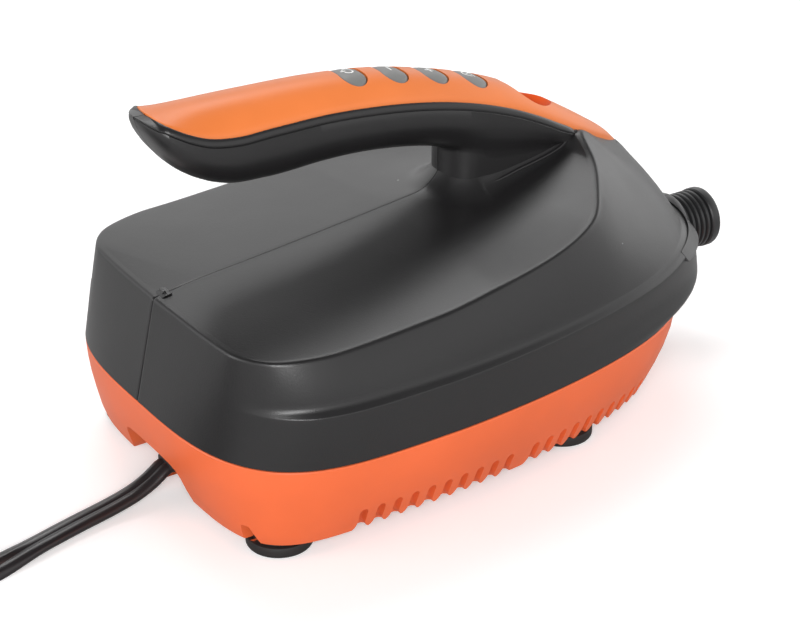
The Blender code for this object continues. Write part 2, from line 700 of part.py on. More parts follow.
def feet_and_screws():
    names = ("rear_left", "rear_right", "front_left", "front_right")
    for name, (x, y) in zip(names, post_places()):
        top = TRAY_BOTTOM - GAP
        turned("foot_" + name, (
            (3.6 * MM, 0), (FOOT_RADIUS - 1 * MM, 0), (FOOT_RADIUS, 0.8 * MM), (FOOT_RADIUS, 2.0 * MM),
            (FOOT_RADIUS - 2.2 * MM, 3.2 * MM), (FOOT_RADIUS - 2.2 * MM, top), (SCREW_RADIUS + GAP, top),
            (SCREW_RADIUS + GAP, 3.4 * MM), (3.6 * MM, 3.4 * MM),
        ), (x, y, 0), "rubber", sides=16)
        turned("screw_" + name, (
            (0, 1.2 * MM), (3.0 * MM, 1.2 * MM), (3.0 * MM, 3.1 * MM), (SCREW_RADIUS, 3.1 * MM),
            (SCREW_RADIUS, SEAM_HEIGHT + 14 * MM), (0, SEAM_HEIGHT + 16 * MM),
        ), (x, y, 0), "steel", sides=12)


def nozzle():
    r = NOZZLE_RIB
    reach = NOZZLE_REACH
    root = NOZZLE_ROOT
    profile = [(NOZZLE_BORE, -NOZZLE_INSIDE), (root, -NOZZLE_INSIDE), (root, -22 * MM), (root + 1.6 * MM, -22 * MM),
               (root + 1.6 * MM, -19 * MM), (root, -19 * MM), (root, GAP), (r, GAP), (r, 2.2 * MM)]
    rib = 2.3 * MM
    at = 2.2 * MM
    for _ in range(4):
        profile += [(r - 1.4 * MM, at + 0.5 * MM), (r - 1.4 * MM, at + 1.0 * MM), (r, at + 1.4 * MM),
                    (r, at + rib)]
        at += rib
    profile += [(r - 0.8 * MM, at + 0.5 * MM), (r + 0.4 * MM, at + 1.3 * MM), (r + 0.4 * MM, reach - 0.8 * MM),
                (r - 0.4 * MM, reach), (NOZZLE_BORE, reach)]
    turned("nozzle", profile, (NOSE, 0, NOZZLE_HEIGHT), "nozzle", "X", 18)
    turned("nozzle_seal", ((NOZZLE_BORE, 0), (root, 0), (root, 1.5 * MM), (NOZZLE_BORE, 1.5 * MM)),
           (MANIFOLD_FACE + GAP, 0, NOZZLE_HEIGHT), "rubber", "X", 20)


def air_path():
    """Manifold behind the nozzle, its flap valve, and the duct from the blower."""
    face = MANIFOLD_FACE
    depth = MANIFOLD_DEPTH
    y_low, y_high = DUCT_SIDES
    low = NOZZLE_HEIGHT - 11 * MM
    high = NOZZLE_HEIGHT + 11 * MM
    manifold = block("air_manifold", (face - depth, -11 * MM, low), (face, y_high + 2 * MM, high), "black")
    cut(manifold, rod("manifold_bore", 8 * MM, (face - depth + 2 * MM, 0, NOZZLE_HEIGHT),
                      (face + 1 * MM, 0, NOZZLE_HEIGHT), axis="X", sides=20))
    cut(manifold, block("manifold_room", (face - depth - 1 * MM, y_low, low + 2 * MM),
                        (face - 4 * MM, y_high, high - 2 * MM)))
    cut(manifold, block("manifold_link", (face - depth + 2 * MM, -2 * MM, NOZZLE_HEIGHT - 5 * MM),
                        (face - 8.6 * MM, y_low + 2 * MM, NOZZLE_HEIGHT + 5 * MM)))
    cut(manifold, rod("manifold_inlet", 1.2 * MM, (face - INLET_BACK, INLET_Y, NOZZLE_HEIGHT + 5 * MM),
                      (face - INLET_BACK, INLET_Y, high + 1 * MM), sides=10))
    hinge = (face - 7.6 * MM, 0, NOZZLE_HEIGHT + 6.2 * MM)
    flap = turned("valve_flap", ((0, 0), (6.6 * MM, 0), (6.6 * MM, 0.9 * MM), (0, 0.9 * MM)),
                  (face - 8.0 * MM, 0, NOZZLE_HEIGHT), "rubber", "X", 16)
    centre_on(flap, hinge)
    start = BLOWER_X + VOLUTE_RADIUS + GAP
    end = face - depth - GAP
    rings = []
    for x, z_low, z_high in ((start, 13 * MM, 29 * MM), (start + 12 * MM, 13 * MM, 29 * MM),
                             (end - 30 * MM, low + 2 * MM, high - 2 * MM), (end, low + 2 * MM, high - 2 * MM)):
        rings.append([(x, y_low, z_low), (x, y_high, z_low), (x, y_high, z_high), (x, y_low, z_high)])
    duct = loft("blower_duct", rings, "black")
    inner = []
    for ring, shift in zip(rings, (-1 * MM, 0, 0, 1 * MM)):
        x = ring[0][0] + shift
        z_low, z_high = ring[0][2] + 1.4 * MM, ring[2][2] - 1.4 * MM
        near, far = y_low + 1.4 * MM, y_high - 1.4 * MM
        inner.append([(x, near, z_low), (x, far, z_low), (x, far, z_high), (x, near, z_high)])
    cut(duct, loft("duct_room", inner))


def blower():
    centre = (BLOWER_X, BLOWER_Y, 0)
    out = VOLUTE_RADIUS
    port = block("volute_port", (BLOWER_X + 15 * MM, DUCT_SIDES[0] + 1.4 * MM, 14.5 * MM),
                 (BLOWER_X + 60 * MM, DUCT_SIDES[1] - 1.4 * MM, 27.5 * MM))
    lower = turned("volute_lower", (
        (11 * MM, 9 * MM), (out, 9 * MM), (out, 20.9 * MM), (out - 1.8 * MM, 20.9 * MM),
        (out - 1.8 * MM, 10.8 * MM), (11 * MM, 10.8 * MM),
    ), centre, "black", sides=28)
    upper = turned("volute_upper", (
        (4 * MM, 31.5 * MM), (out - 1.8 * MM, 31.5 * MM), (out - 1.8 * MM, 21.2 * MM), (out, 21.2 * MM),
        (out, 33.3 * MM), (4 * MM, 33.3 * MM),
    ), centre, "black", sides=28)
    cut(lower, port)
    cut(upper, port)
    impeller = turned("blower_impeller", (
        (1.8 * MM, 13 * MM), (IMPELLER_RADIUS, 13 * MM), (IMPELLER_RADIUS, 14.4 * MM), (5 * MM, 14.4 * MM),
        (5 * MM, 29.5 * MM), (1.8 * MM, 29.5 * MM),
    ), (BLOWER_X, BLOWER_Y, 0), "nylon", sides=32)
    blades = bmesh.new()
    count = 9
    for i in range(count):
        turn = Matrix.Rotation(math.tau * i / count, 4, "Z")
        lean = Matrix.Rotation(math.radians(35), 4, "Z")
        middle = Matrix.Translation(((IMPELLER_RADIUS + 7 * MM) / 2, 0, 20.5 * MM))
        size = Matrix.Diagonal(((IMPELLER_RADIUS - 9 * MM) * 0.98, 1.2 * MM, 13.6 * MM, 1))
        place = Matrix.Translation(centre)
        bmesh.ops.create_cube(blades, size=1, matrix=place @ turn @ middle @ lean @ size)
    add(impeller, finish("impeller_blades", blades, None))
    centre_on(impeller, centre)
    shaft = rod("blower_shaft", 1.5 * MM, (BLOWER_X, BLOWER_Y, 13.4 * MM), (BLOWER_X, BLOWER_Y, 39.5 * MM),
                "steel", sides=14)
    centre_on(shaft, centre)
    turned("blower_motor", (
        (1.8 * MM, 33.6 * MM), (BLOWER_MOTOR_RADIUS, 33.6 * MM), (BLOWER_MOTOR_RADIUS, 57 * MM),
        (BLOWER_MOTOR_RADIUS - 1.5 * MM, 58.5 * MM), (5 * MM, 58.5 * MM), (5 * MM, 60.5 * MM),
        (0, 60.5 * MM), (0, 40 * MM), (1.8 * MM, 40 * MM),
    ), centre, "steel")


def gear_outline(teeth, module):
    radius = teeth * module / 2
    points = []
    for i in range(teeth):
        for part, height in ((0.0, -1.1), (0.22, -1.1), (0.36, 0.85), (0.62, 0.85), (0.78, -1.1)):
            if part == 0.0 and teeth > 20:
                continue
            angle = math.tau * (i + part) / teeth
            distance = radius + height * module
            points.append((distance * math.cos(angle), distance * math.sin(angle)))
    return points


def gear(name, teeth, centre, thickness, bore, kind, phase=0.0):
    outline = gear_outline(teeth, GEAR_MODULE)
    turn = math.tau * phase / teeth
    rings = []
    for x in (0, thickness):
        rings.append([(centre[0] + x, centre[1] + u * math.cos(turn) - v * math.sin(turn),
                       centre[2] + u * math.sin(turn) + v * math.cos(turn)) for u, v in outline])
    wheel = loft(name, rings, kind)
    hole = rod(name + "_bore", bore, (centre[0] - 1 * MM, centre[1], centre[2]),
               (centre[0] + thickness + 1 * MM, centre[1], centre[2]), axis="X", sides=14)
    return cut(wheel, hole)


def compressor():
    """Motor, reduction gear, crank, rod, piston and cylinder, on one frame plate."""
    plate = 2 * MM
    x0 = CRANK_X - 6 * MM
    spacing = (GEAR_TEETH + PINION_TEETH) * GEAR_MODULE / 2 + 0.1 * MM
    motor_y = CRANK_Y - spacing
    shelf = CRANK_Z + GEAR_TEETH * GEAR_MODULE / 2 + 2.6 * MM
    cylinder_x = x0 + plate + 14.5 * MM
    bearing = 5.0 * MM
    frame = block("compressor_frame", (x0, motor_y - COMPRESSOR_MOTOR_RADIUS, CRANK_Z - 14 * MM),
                  (x0 + plate, CRANK_Y + 16 * MM, shelf + 2 * MM), "alloy")
    add(frame, block("frame_shelf", (x0 + 0.5 * MM, CRANK_Y - 15 * MM, shelf),
                     (cylinder_x + PISTON_RADIUS + 5 * MM, CRANK_Y + 15 * MM, shelf + 2 * MM)))
    cut(frame, rod("rod_hole", PISTON_RADIUS + 1 * MM, (cylinder_x, CRANK_Y, shelf - 2 * MM),
                   (cylinder_x, CRANK_Y, shelf + 4 * MM), sides=20))
    cut(frame, rod("bearing_hole", bearing + GAP, (x0 - 1 * MM, CRANK_Y, CRANK_Z),
                   (x0 + plate + 1 * MM, CRANK_Y, CRANK_Z), axis="X"))
    cut(frame, rod("motor_hole", 5.4 * MM, (x0 - 1 * MM, motor_y, CRANK_Z),
                   (x0 + plate + 1 * MM, motor_y, CRANK_Z), axis="X"))
    motor_length = 42 * MM
    turned("compressor_motor", (
        (1.9 * MM, 0), (1.9 * MM, -6 * MM), (0, -6 * MM), (0, -motor_length - 2 * MM),
        (4.5 * MM, -motor_length - 2 * MM), (4.5 * MM, -motor_length),
        (COMPRESSOR_MOTOR_RADIUS - 1.5 * MM, -motor_length), (COMPRESSOR_MOTOR_RADIUS, -motor_length + 2 * MM),
        (COMPRESSOR_MOTOR_RADIUS, 0),
    ), (x0 - GAP, motor_y, CRANK_Z), "steel", "X")
    gear_x = x0 + plate + 0.7 * MM
    thickness = 4 * MM
    pinion = gear("motor_pinion", PINION_TEETH, (gear_x, motor_y, CRANK_Z), thickness, 1.8 * MM, "brass", 0.5)
    centre_on(pinion, (gear_x, motor_y, CRANK_Z))
    shaft = rod("motor_shaft", 1.5 * MM, (x0 - 5.8 * MM, motor_y, CRANK_Z),
                (gear_x + thickness + 0.5 * MM, motor_y, CRANK_Z), "steel", "X", 14)
    centre_on(shaft, (gear_x, motor_y, CRANK_Z))
    wheel = gear("crank_gear", GEAR_TEETH, (gear_x, CRANK_Y, CRANK_Z), thickness, 2.3 * MM, "nylon")
    centre_on(wheel, (gear_x, CRANK_Y, CRANK_Z))
    crank_shaft = turned("crank_shaft", (
        (0, -9 * MM), (2.0 * MM, -9 * MM), (2.0 * MM, thickness - 0.4 * MM), (0, thickness - 0.4 * MM),
    ), (gear_x, CRANK_Y, CRANK_Z), "steel", "X", 14)
    centre_on(crank_shaft, (gear_x, CRANK_Y, CRANK_Z))
    turned("crank_bearing", (
        (2.3 * MM, 0), (bearing, 0), (bearing, plate - 0.1 * MM), (2.3 * MM, plate - 0.1 * MM),
    ), (x0, CRANK_Y, CRANK_Z), "steel", "X", 20)
    # The crank stands at its side, so the piston is near mid stroke.
    rise = math.sqrt(ROD_LENGTH**2 - CRANK_RADIUS**2)
    wrist = Vector((cylinder_x, CRANK_Y, CRANK_Z + rise))
    crank_pin_y = CRANK_Y + CRANK_RADIUS
    link = connecting_rod(cylinder_x, crank_pin_y, wrist)
    centre_on(link, wrist)
    pin = rod("crank_pin", 2.0 * MM, (gear_x + thickness + GAP, crank_pin_y, CRANK_Z),
              (cylinder_x + 3.2 * MM, crank_pin_y, CRANK_Z), "steel", "X", 14)
    centre_on(pin, wrist)
    piston = turned("piston", (
        (0, -4.5 * MM), (PISTON_RADIUS, -4.5 * MM), (PISTON_RADIUS, 2.2 * MM), (PISTON_RADIUS - 1.6 * MM, 2.2 * MM),
        (PISTON_RADIUS - 1.6 * MM, 3.9 * MM), (PISTON_RADIUS, 3.9 * MM), (PISTON_RADIUS, 5.2 * MM), (0, 5.2 * MM),
    ), wrist, "alloy", sides=24)
    cut(piston, block("rod_slot", wrist + Vector((-2.6 * MM, -6.5 * MM, -8 * MM)),
                      wrist + Vector((2.6 * MM, 6.5 * MM, 3.4 * MM))))
    cut(piston, rod("wrist_hole", 1.6 * MM, wrist - Vector((12 * MM, 0, 0)), wrist + Vector((12 * MM, 0, 0)),
                    axis="X", sides=12))
    centre_on(piston, wrist)
    wrist_pin = rod("wrist_pin", 1.3 * MM, wrist - Vector((7 * MM, 0, 0)), wrist + Vector((7 * MM, 0, 0)),
                    "steel", "X", 12)
    centre_on(wrist_pin, wrist)
    seal = turned("piston_seal", (
        (PISTON_RADIUS - 1.3 * MM, 2.5 * MM), (PISTON_RADIUS + 0.15 * MM, 2.5 * MM),
        (PISTON_RADIUS + 0.15 * MM, 3.6 * MM), (PISTON_RADIUS - 1.3 * MM, 3.6 * MM),
    ), wrist, "rubber", sides=24)
    centre_on(seal, wrist)
    bore = PISTON_RADIUS + 0.3 * MM
    bottom = shelf + 2 * MM + GAP
    top = CRANK_Z + CRANK_RADIUS + ROD_LENGTH + 6.2 * MM
    turned("cylinder", ((bore, bottom), (bore + 2.4 * MM, bottom), (bore + 2.4 * MM, top), (bore, top)),
           (cylinder_x, CRANK_Y, 0), "alloy")
    turned("head_gasket", ((bore, top + 0.3 * MM), (bore + 2.4 * MM, top + 0.3 * MM),
                           (bore + 2.4 * MM, top + 1.0 * MM), (bore, top + 1.0 * MM)),
           (cylinder_x, CRANK_Y, 0), "rubber", sides=20)
    head_low = top + 1.3 * MM
    outer = bore + 2.4 * MM
    head = turned("cylinder_head", (
        (0, 2.2 * MM), (5.5 * MM, 2.2 * MM), (5.5 * MM, 0), (outer, 0), (outer, 4.6 * MM), (0, 4.6 * MM),
    ), (cylinder_x, CRANK_Y, head_low), "alloy")
    nipple_z = head_low + 4.6 * MM
    spout = rod("head_spout", 2.2 * MM, (cylinder_x, CRANK_Y, head_low + 3.5 * MM),
                (cylinder_x, CRANK_Y, nipple_z + 3 * MM), sides=12)
    spout_hole = rod("head_spout_hole", 1.1 * MM, (cylinder_x, CRANK_Y, head_low - 1 * MM),
                     (cylinder_x, CRANK_Y, nipple_z + 5 * MM), sides=10)
    cut(add(head, spout), spout_hole)
    outlet_tube((cylinder_x, CRANK_Y, nipple_z + 3 * MM + 2 * GAP))


def outlet_tube(start):
    """Hose from the cylinder head down to the manifold's top."""
    end = (MANIFOLD_FACE - INLET_BACK, INLET_Y, NOZZLE_HEIGHT + 11 * MM + GAP)
    x, y, z = start
    route = [start, (x, y, z + 2.5 * MM), (x + 5 * MM, y + 2 * MM, z + 5 * MM),
             (end[0] - 4 * MM, y + 7 * MM, z + 2.5 * MM), (end[0], end[1] - 0.5 * MM, end[2] + 7 * MM),
             (end[0], end[1], end[2] + 2.5 * MM), end]
    return tube("outlet_hose", route, 2.2 * MM, 3.5 * MM, "rubber", 2)


def connecting_rod(x, pin_y, wrist):
    thick = 2 * MM
    big = turned("connecting_rod", ((2.3 * MM, -thick), (4.6 * MM, -thick), (4.6 * MM, thick), (2.3 * MM, thick)),
                 (x, pin_y, CRANK_Z), "alloy", "X", 18)
    small = turned("rod_small_end", ((1.7 * MM, -thick), (3.2 * MM, -thick), (3.2 * MM, thick), (1.7 * MM, thick)),
                   wrist, axis="X", sides=16)
    along = Vector((0, wrist.y - pin_y, wrist.z - CRANK_Z)).normalized()
    across = Vector((0, along.z, -along.y)) * 1.8 * MM
    low = Vector((0, pin_y, CRANK_Z)) + along * 3.4 * MM
    high = Vector((0, wrist.y, wrist.z)) - along * 2.4 * MM
    rings = []
    for offset in (-1.5 * MM, 1.5 * MM):
        shift = Vector((x + offset, 0, 0))
        rings.append([low - across + shift, low + across + shift, high + across + shift, high - across + shift])
    return add(big, small, loft("rod_web", rings))


def power_board():
    y = -(HALF - 17 * MM)
    x = REAR + 58 * MM
    block("power_board", (x - 26 * MM, y - 0.8 * MM, 13 * MM), (x + 20 * MM, y + 0.8 * MM, 46 * MM), "board")
    block("power_relay", (x - 20 * MM, y + 0.8 * MM + GAP, 20 * MM), (x - 2 * MM, y + 12 * MM, 35 * MM),
          "black", 0.6 * MM)
    rod("capacitor", 4.5 * MM, (x + 9 * MM, y + 0.8 * MM + GAP, 28 * MM),
        (x + 9 * MM, y + 13 * MM, 28 * MM), "alloy", "Y", 16)


def curve_points(route, spacing):
    """Evenly spaced points on a smooth curve through the route's own points."""
    points = np.array(route, float)
    padded = np.vstack([2 * points[0] - points[1], points, 2 * points[-1] - points[-2]])
    dense = []
    for k in range(1, len(padded) - 2):
        a, b, c, d = padded[k - 1:k + 3]
        for t in np.linspace(0, 1, 24, endpoint=False):
            dense.append(0.5 * (2 * b + (c - a) * t + (2 * a - 5 * b + 4 * c - d) * t**2
                                + (3 * b - a - 3 * c + d) * t**3))
    dense.append(points[-1])
    dense = np.array(dense)
    run = np.concatenate([[0], np.cumsum(np.linalg.norm(np.diff(dense, axis=0), axis=1))])
    count = max(int(run[-1] / spacing), 2) + 1
    at = np.linspace(0, run[-1], count)
    return np.column_stack([np.interp(at, run, dense[:, k]) for k in range(3)])


def tube(name, route, radius, spacing, kind, resolution=2):
    points = curve_points(route, spacing)
    curve = bpy.data.curves.new(name, "CURVE")
    curve.dimensions = "3D"
    curve.bevel_depth = radius
    curve.bevel_resolution = resolution
    curve.use_fill_caps = True
    spline = curve.splines.new("POLY")
    spline.points.add(len(points) - 1)
    for place, point in zip(spline.points, points):
        place.co = (*point, 1)
    curve.materials.append(material(kind))
    obj = bpy.data.objects.new(name, curve)
    bpy.context.collection.objects.link(obj)
    return obj


def supply_cord():
    deep = REAR + NOTCH_DEPTH
    outer_end = CORD_ROUTE[0][0] + 2 * GAP - deep
    turned("cord_gland", (
        (0, outer_end), (GLAND_RADIUS - 0.6 * MM, outer_end), (GLAND_RADIUS, -1.5 * MM - GAP),
        (GLAND_RADIUS + 1.0 * MM, -1.5 * MM - GAP), (GLAND_RADIUS + 1.0 * MM, -GAP), (GLAND_RADIUS, -GAP),
        (GLAND_RADIUS, WALL + 2.5 * MM), (0, WALL + 2.5 * MM),
    ), (deep, GLAND_Y, GLAND_Z), "rubber", "X", 16)
    tube("supply_cord", CORD_ROUTE, CORD_RADIUS, 4.5 * MM, "cord", 2)
    r, w, h = COIL_MEAN_RADIUS, COIL_WIDTH / 2, COIL_HEIGHT
    turned("cord_coil", (
        (r - w, 3 * MM), (r - w + 3 * MM, 0), (r + w - 3 * MM, 0), (r + w, 3 * MM), (r + w, h - 3 * MM),
        (r + w - 3 * MM, h), (r - w + 3 * MM, h), (r - w, h - 3 * MM),
    ), (*COIL_CENTRE, 0), "cord", sides=28)


def car_plug():
    """Vehicle socket plug, lying across the coil."""
    x, y = COIL_CENTRE
    z = COIL_HEIGHT + 11.5 * MM
    base = x - 38 * MM
    turned("plug_body", (
        (0, 0), (3.5 * MM, 0), (5.5 * MM, 8 * MM), (10.5 * MM, 14 * MM), (11.0 * MM, 36 * MM),
        (10.2 * MM, 38 * MM), (10.2 * MM, 62 * MM), (0, 62 * MM),
    ), (base, y, z), "black", "X", 20)
    turned("plug_cap", (
        (0, 0), (9.6 * MM, 0), (9.0 * MM, 7 * MM), (5.2 * MM, 8.5 * MM), (5.2 * MM, 5 * MM), (0, 5 * MM),
    ), (base + 62 * MM + GAP, y, z), "black", "X", 20)
    turned("plug_tip", ((0, 0), (3.6 * MM, 0), (3.6 * MM, 5 * MM), (2 * MM, 7.5 * MM), (0, 7.8 * MM)),
           (base + 67 * MM + 2 * GAP, y, z), "steel", "X", 16)
    for side, name in ((1, "plug_spring_left"), (-1, "plug_spring_right")):
        bm = bmesh.new()
        centre = (base + 50 * MM, y + side * (10.2 * MM + GAP + 0.6 * MM), z)
        size = Matrix.Diagonal((14 * MM, 1.2 * MM, 4 * MM, 1))
        bmesh.ops.create_cube(bm, size=1, matrix=Matrix.Translation(centre) @ size)
        bmesh.ops.bevel(bm, geom=bm.edges, offset=0.3 * MM, segments=1, affect="EDGES")
        finish(name, bm, "steel")


def build():
    clear_scene()
    base_tray()
    housing()
    handle_cover()
    buttons()
    controls()
    feet_and_screws()
    nozzle()
    air_path()
    blower()
    compressor()
    power_board()
    supply_cord()
    car_plug()


build()
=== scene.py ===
"""The looks of a twelve volt air mattress pump: its moulded shells, controls, spout, feet and supply cord."""

import json
import math

import bpy
import numpy as np
from mathutils import Matrix, Vector


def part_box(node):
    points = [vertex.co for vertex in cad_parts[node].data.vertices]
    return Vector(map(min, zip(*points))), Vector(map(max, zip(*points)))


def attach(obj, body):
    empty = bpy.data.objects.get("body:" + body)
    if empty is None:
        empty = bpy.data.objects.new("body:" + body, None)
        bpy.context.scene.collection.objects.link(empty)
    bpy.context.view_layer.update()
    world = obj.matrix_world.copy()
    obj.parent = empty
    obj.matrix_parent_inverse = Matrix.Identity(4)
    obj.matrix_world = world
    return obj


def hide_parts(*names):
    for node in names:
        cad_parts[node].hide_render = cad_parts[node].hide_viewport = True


bl_info = {
    "name": "Air pump parts",
    "version": (1, 0, 0),
    "blender": (4, 5, 0),
    "location": "View3D > Sidebar > Air pump",
    "description": "Builds the visible pieces of an air mattress pump round its packed frame",
    "category": "Object",
}

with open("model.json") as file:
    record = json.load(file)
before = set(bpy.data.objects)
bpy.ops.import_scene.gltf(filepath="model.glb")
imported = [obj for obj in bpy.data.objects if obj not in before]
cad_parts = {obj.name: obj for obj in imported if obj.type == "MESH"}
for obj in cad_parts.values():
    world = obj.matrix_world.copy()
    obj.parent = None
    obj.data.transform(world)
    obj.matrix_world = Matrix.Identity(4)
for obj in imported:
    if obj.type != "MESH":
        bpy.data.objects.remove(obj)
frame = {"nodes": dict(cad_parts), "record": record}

MM = 0.001
# Points nearer than this are one point.
WELD = 0.004 * MM
FINE_WELD = 0.002 * MM
TRAY_LOW, TRAY_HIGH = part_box("base_tray")
SHELL_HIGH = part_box("housing_right")[1]
SPOUT_LOW, SPOUT_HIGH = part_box("nozzle")
REAR = TRAY_LOW.x
HALF = TRAY_HIGH.y
SEAM = round(TRAY_HIGH.z / (0.1 * MM)) * 0.1 * MM + 0.3 * MM
NOSE = SHELL_HIGH.x
SEAM_TIP = NOSE - 22.5 * MM
PLAN_CENTRE = REAR + 71 * MM
TRAY_BOTTOM = TRAY_LOW.z
TRAY_DRAFT = 8 * MM
SPOUT_AXIS = (SPOUT_LOW.z + SPOUT_HIGH.z) / 2
DECK = 67 * MM
HANDLE_TOP = 128.5 * MM
HANDLE_START = REAR + 2.3 * MM
HANDLE_LENGTH = SEAM_TIP - 2.5 * MM - HANDLE_START
BUTTON_NAMES = ("power", "minus", "plus", "unit")
# How far a button's middle swells above its rim, and how deep the rim sits in the cover.
BUTTON_DOME = 0.55 * MM
BUTTON_SINK = 0.35 * MM
# Where the camera looks, and from how far round, how high and how far away.
VIEW_TARGET = (-0.0207, 0.0, 0.03822)
VIEW_AZIMUTH = -33.52
VIEW_ELEVATION = 27.5
VIEW_DISTANCE = 0.70113
VIEW_LENS = 95.19
VIEW_SHIFT = (0.01225, -0.01325)
# The floor's glow for the camera, and its shade for what the pump mirrors.
FLOOR_GLOW = 0.22
FLOOR_SHADE = 0.58

# The deck's crisp edge: share of the way round from the nose, x from the seam's tip,
# distance in from the body's side, height above the deck's level.
DECK_EDGE = (
    (0.00, -3.0 * MM, 70.0 * MM, 11.5 * MM),
    (0.05, -8.0 * MM, 66.4 * MM, 13.5 * MM),
    (0.10, -17.0 * MM, 62.5 * MM, 18.0 * MM),
    (0.16, -26.5 * MM, 59.0 * MM, 23.5 * MM),
    (0.20, -30.0 * MM, 48.0 * MM, 18.8 * MM),
    (0.25, -36.5 * MM, 37.0 * MM, 15.0 * MM),
    (0.32, -48.0 * MM, 24.0 * MM, 10.5 * MM),
    (0.40, -68.0 * MM, 16.0 * MM, 7.0 * MM),
    (0.50, -95.0 * MM, 11.5 * MM, 4.0 * MM),
    (0.57, -117.0 * MM, 9.5 * MM, 2.0 * MM),
    (0.70, -152.0 * MM, 9.7 * MM, 0.0 * MM),
    (0.775, -171.5 * MM, 15.0 * MM, -0.3 * MM),
    (0.85, -180.3 * MM, 29.0 * MM, -0.2 * MM),
    (1.00, -182.5 * MM, 70.0 * MM, 0.5 * MM),
)
# The deck's centre line: share, x from the seam's tip, height above the same level. Its
# front end lies hidden under the handle's cover.
DECK_SPINE = (
    (0.00, -9.0 * MM, 8.5 * MM),
    (0.05, -15.0 * MM, 11.0 * MM),
    (0.10, -23.0 * MM, 16.0 * MM),
    (0.16, -32.0 * MM, 20.5 * MM),
    (0.25, -45.0 * MM, 19.0 * MM),
    (0.32, -57.0 * MM, 17.0 * MM),
    (0.40, -71.0 * MM, 14.0 * MM),
    (0.50, -97.0 * MM, 10.5 * MM),
    (0.70, -146.0 * MM, 5.0 * MM),
    (0.85, -168.0 * MM, 2.8 * MM),
    (1.00, -179.5 * MM, 1.0 * MM),
)
# The handle: share of the way from its rear tip to its front end, half width of the orange
# cover, half width of the black rim round it, and how far below the handle's top the cover's
# edge, the cover's crown and the underside lie.
HANDLE = (
    (0.013, 0.2 * MM, 0.3 * MM, 0.8 * MM, 0.6 * MM, 1.6 * MM),
    (0.018, 0.3 * MM, 4.8 * MM, 0.9 * MM, 0.5 * MM, 4.6 * MM),
    (0.028, 0.4 * MM, 8.6 * MM, 0.9 * MM, 0.4 * MM, 8.3 * MM),
    (0.0325, 0.6 * MM, 9.8 * MM, 0.9 * MM, 0.4 * MM, 9.8 * MM),
    (0.0350, 4.6 * MM, 10.3 * MM, 1.0 * MM, 0.4 * MM, 10.6 * MM),
    (0.0437, 9.3 * MM, 11.7 * MM, 1.8 * MM, 0.3 * MM, 13.0 * MM),
    (0.074, 12.2 * MM, 14.0 * MM, 4.7 * MM, 0.1 * MM, 19.0 * MM),
    (0.108, 13.5 * MM, 15.1 * MM, 7.0 * MM, 0.0 * MM, 23.3 * MM),
    (0.145, 14.0 * MM, 15.5 * MM, 8.1 * MM, 0.0 * MM, 26.2 * MM),
    (0.226, 13.7 * MM, 15.1 * MM, 8.3 * MM, 0.3 * MM, 28.1 * MM),
    (0.332, 13.0 * MM, 14.4 * MM, 8.7 * MM, 1.0 * MM, 27.7 * MM),
    (0.402, 12.6 * MM, 14.0 * MM, 9.8 * MM, 2.2 * MM, 28.0 * MM),
    (0.473, 12.2 * MM, 13.6 * MM, 11.5 * MM, 4.1 * MM, 29.4 * MM),
    (0.558, 11.7 * MM, 13.1 * MM, 14.5 * MM, 7.7 * MM, 32.6 * MM),
    (0.645, 11.2 * MM, 12.6 * MM, 18.9 * MM, 12.3 * MM, 38.5 * MM),
    (0.735, 10.8 * MM, 12.2 * MM, 25.2 * MM, 18.6 * MM, 41.2 * MM),
    (0.782, 10.5 * MM, 12.0 * MM, 29.4 * MM, 23.2 * MM, 41.6 * MM),
    (0.832, 9.9 * MM, 11.5 * MM, 34.4 * MM, 28.6 * MM, 42.2 * MM),
    (0.874, 9.0 * MM, 10.8 * MM, 38.6 * MM, 33.3 * MM, 44.0 * MM),
    (0.914, 7.5 * MM, 9.0 * MM, 42.7 * MM, 38.0 * MM, 48.5 * MM),
    (0.967, 4.3 * MM, 6.0 * MM, 47.8 * MM, 45.0 * MM, 54.0 * MM),
    (0.995, 1.2 * MM, 2.0 * MM, 50.9 * MM, 50.0 * MM, 56.0 * MM),
)
# Half the display window's length and width.
WINDOW_ALONG = 9.9 * MM
WINDOW_ACROSS = 7.9 * MM
COVER_START = 0.0327
COVER_END = 0.994
BAND_END = 0.885
# The neck between the deck and the handle: its rounded leading edge and where it is full width.
NECK_EDGE = -2.0 * MM
NECK_FULL = 7.0 * MM
# Radius of the soft corner between the deck and the neck, from the neck's rear to its front.
NECK_FILLET = (
    (-10 * MM, 5.5 * MM), (5 * MM, 5.0 * MM), (15 * MM, 3.2 * MM), (30 * MM, 2.0 * MM), (48 * MM, 1.2 * MM),
)

# The supply cord, from its gland to where it meets the coil.
CORD_ROUTE = (
    (-0.1046, -0.0034, 0.0110), (-0.1085, -0.0035, 0.0108), (-0.1135, -0.0041, 0.0076),
    (-0.1195, -0.0048, 0.0043), (-0.1285, -0.0047, 0.0030), (-0.1415, -0.0068, 0.0030),
    (-0.1565, -0.0110, 0.0030), (-0.1707, -0.0155, 0.0030), (-0.1850, -0.0202, 0.0030),
    (-0.1950, -0.0254, 0.0030), (-0.2015, -0.0296, 0.0030),
)
CORD_WIDTH = 8.0 * MM
CORD_THICKNESS = 4.0 * MM


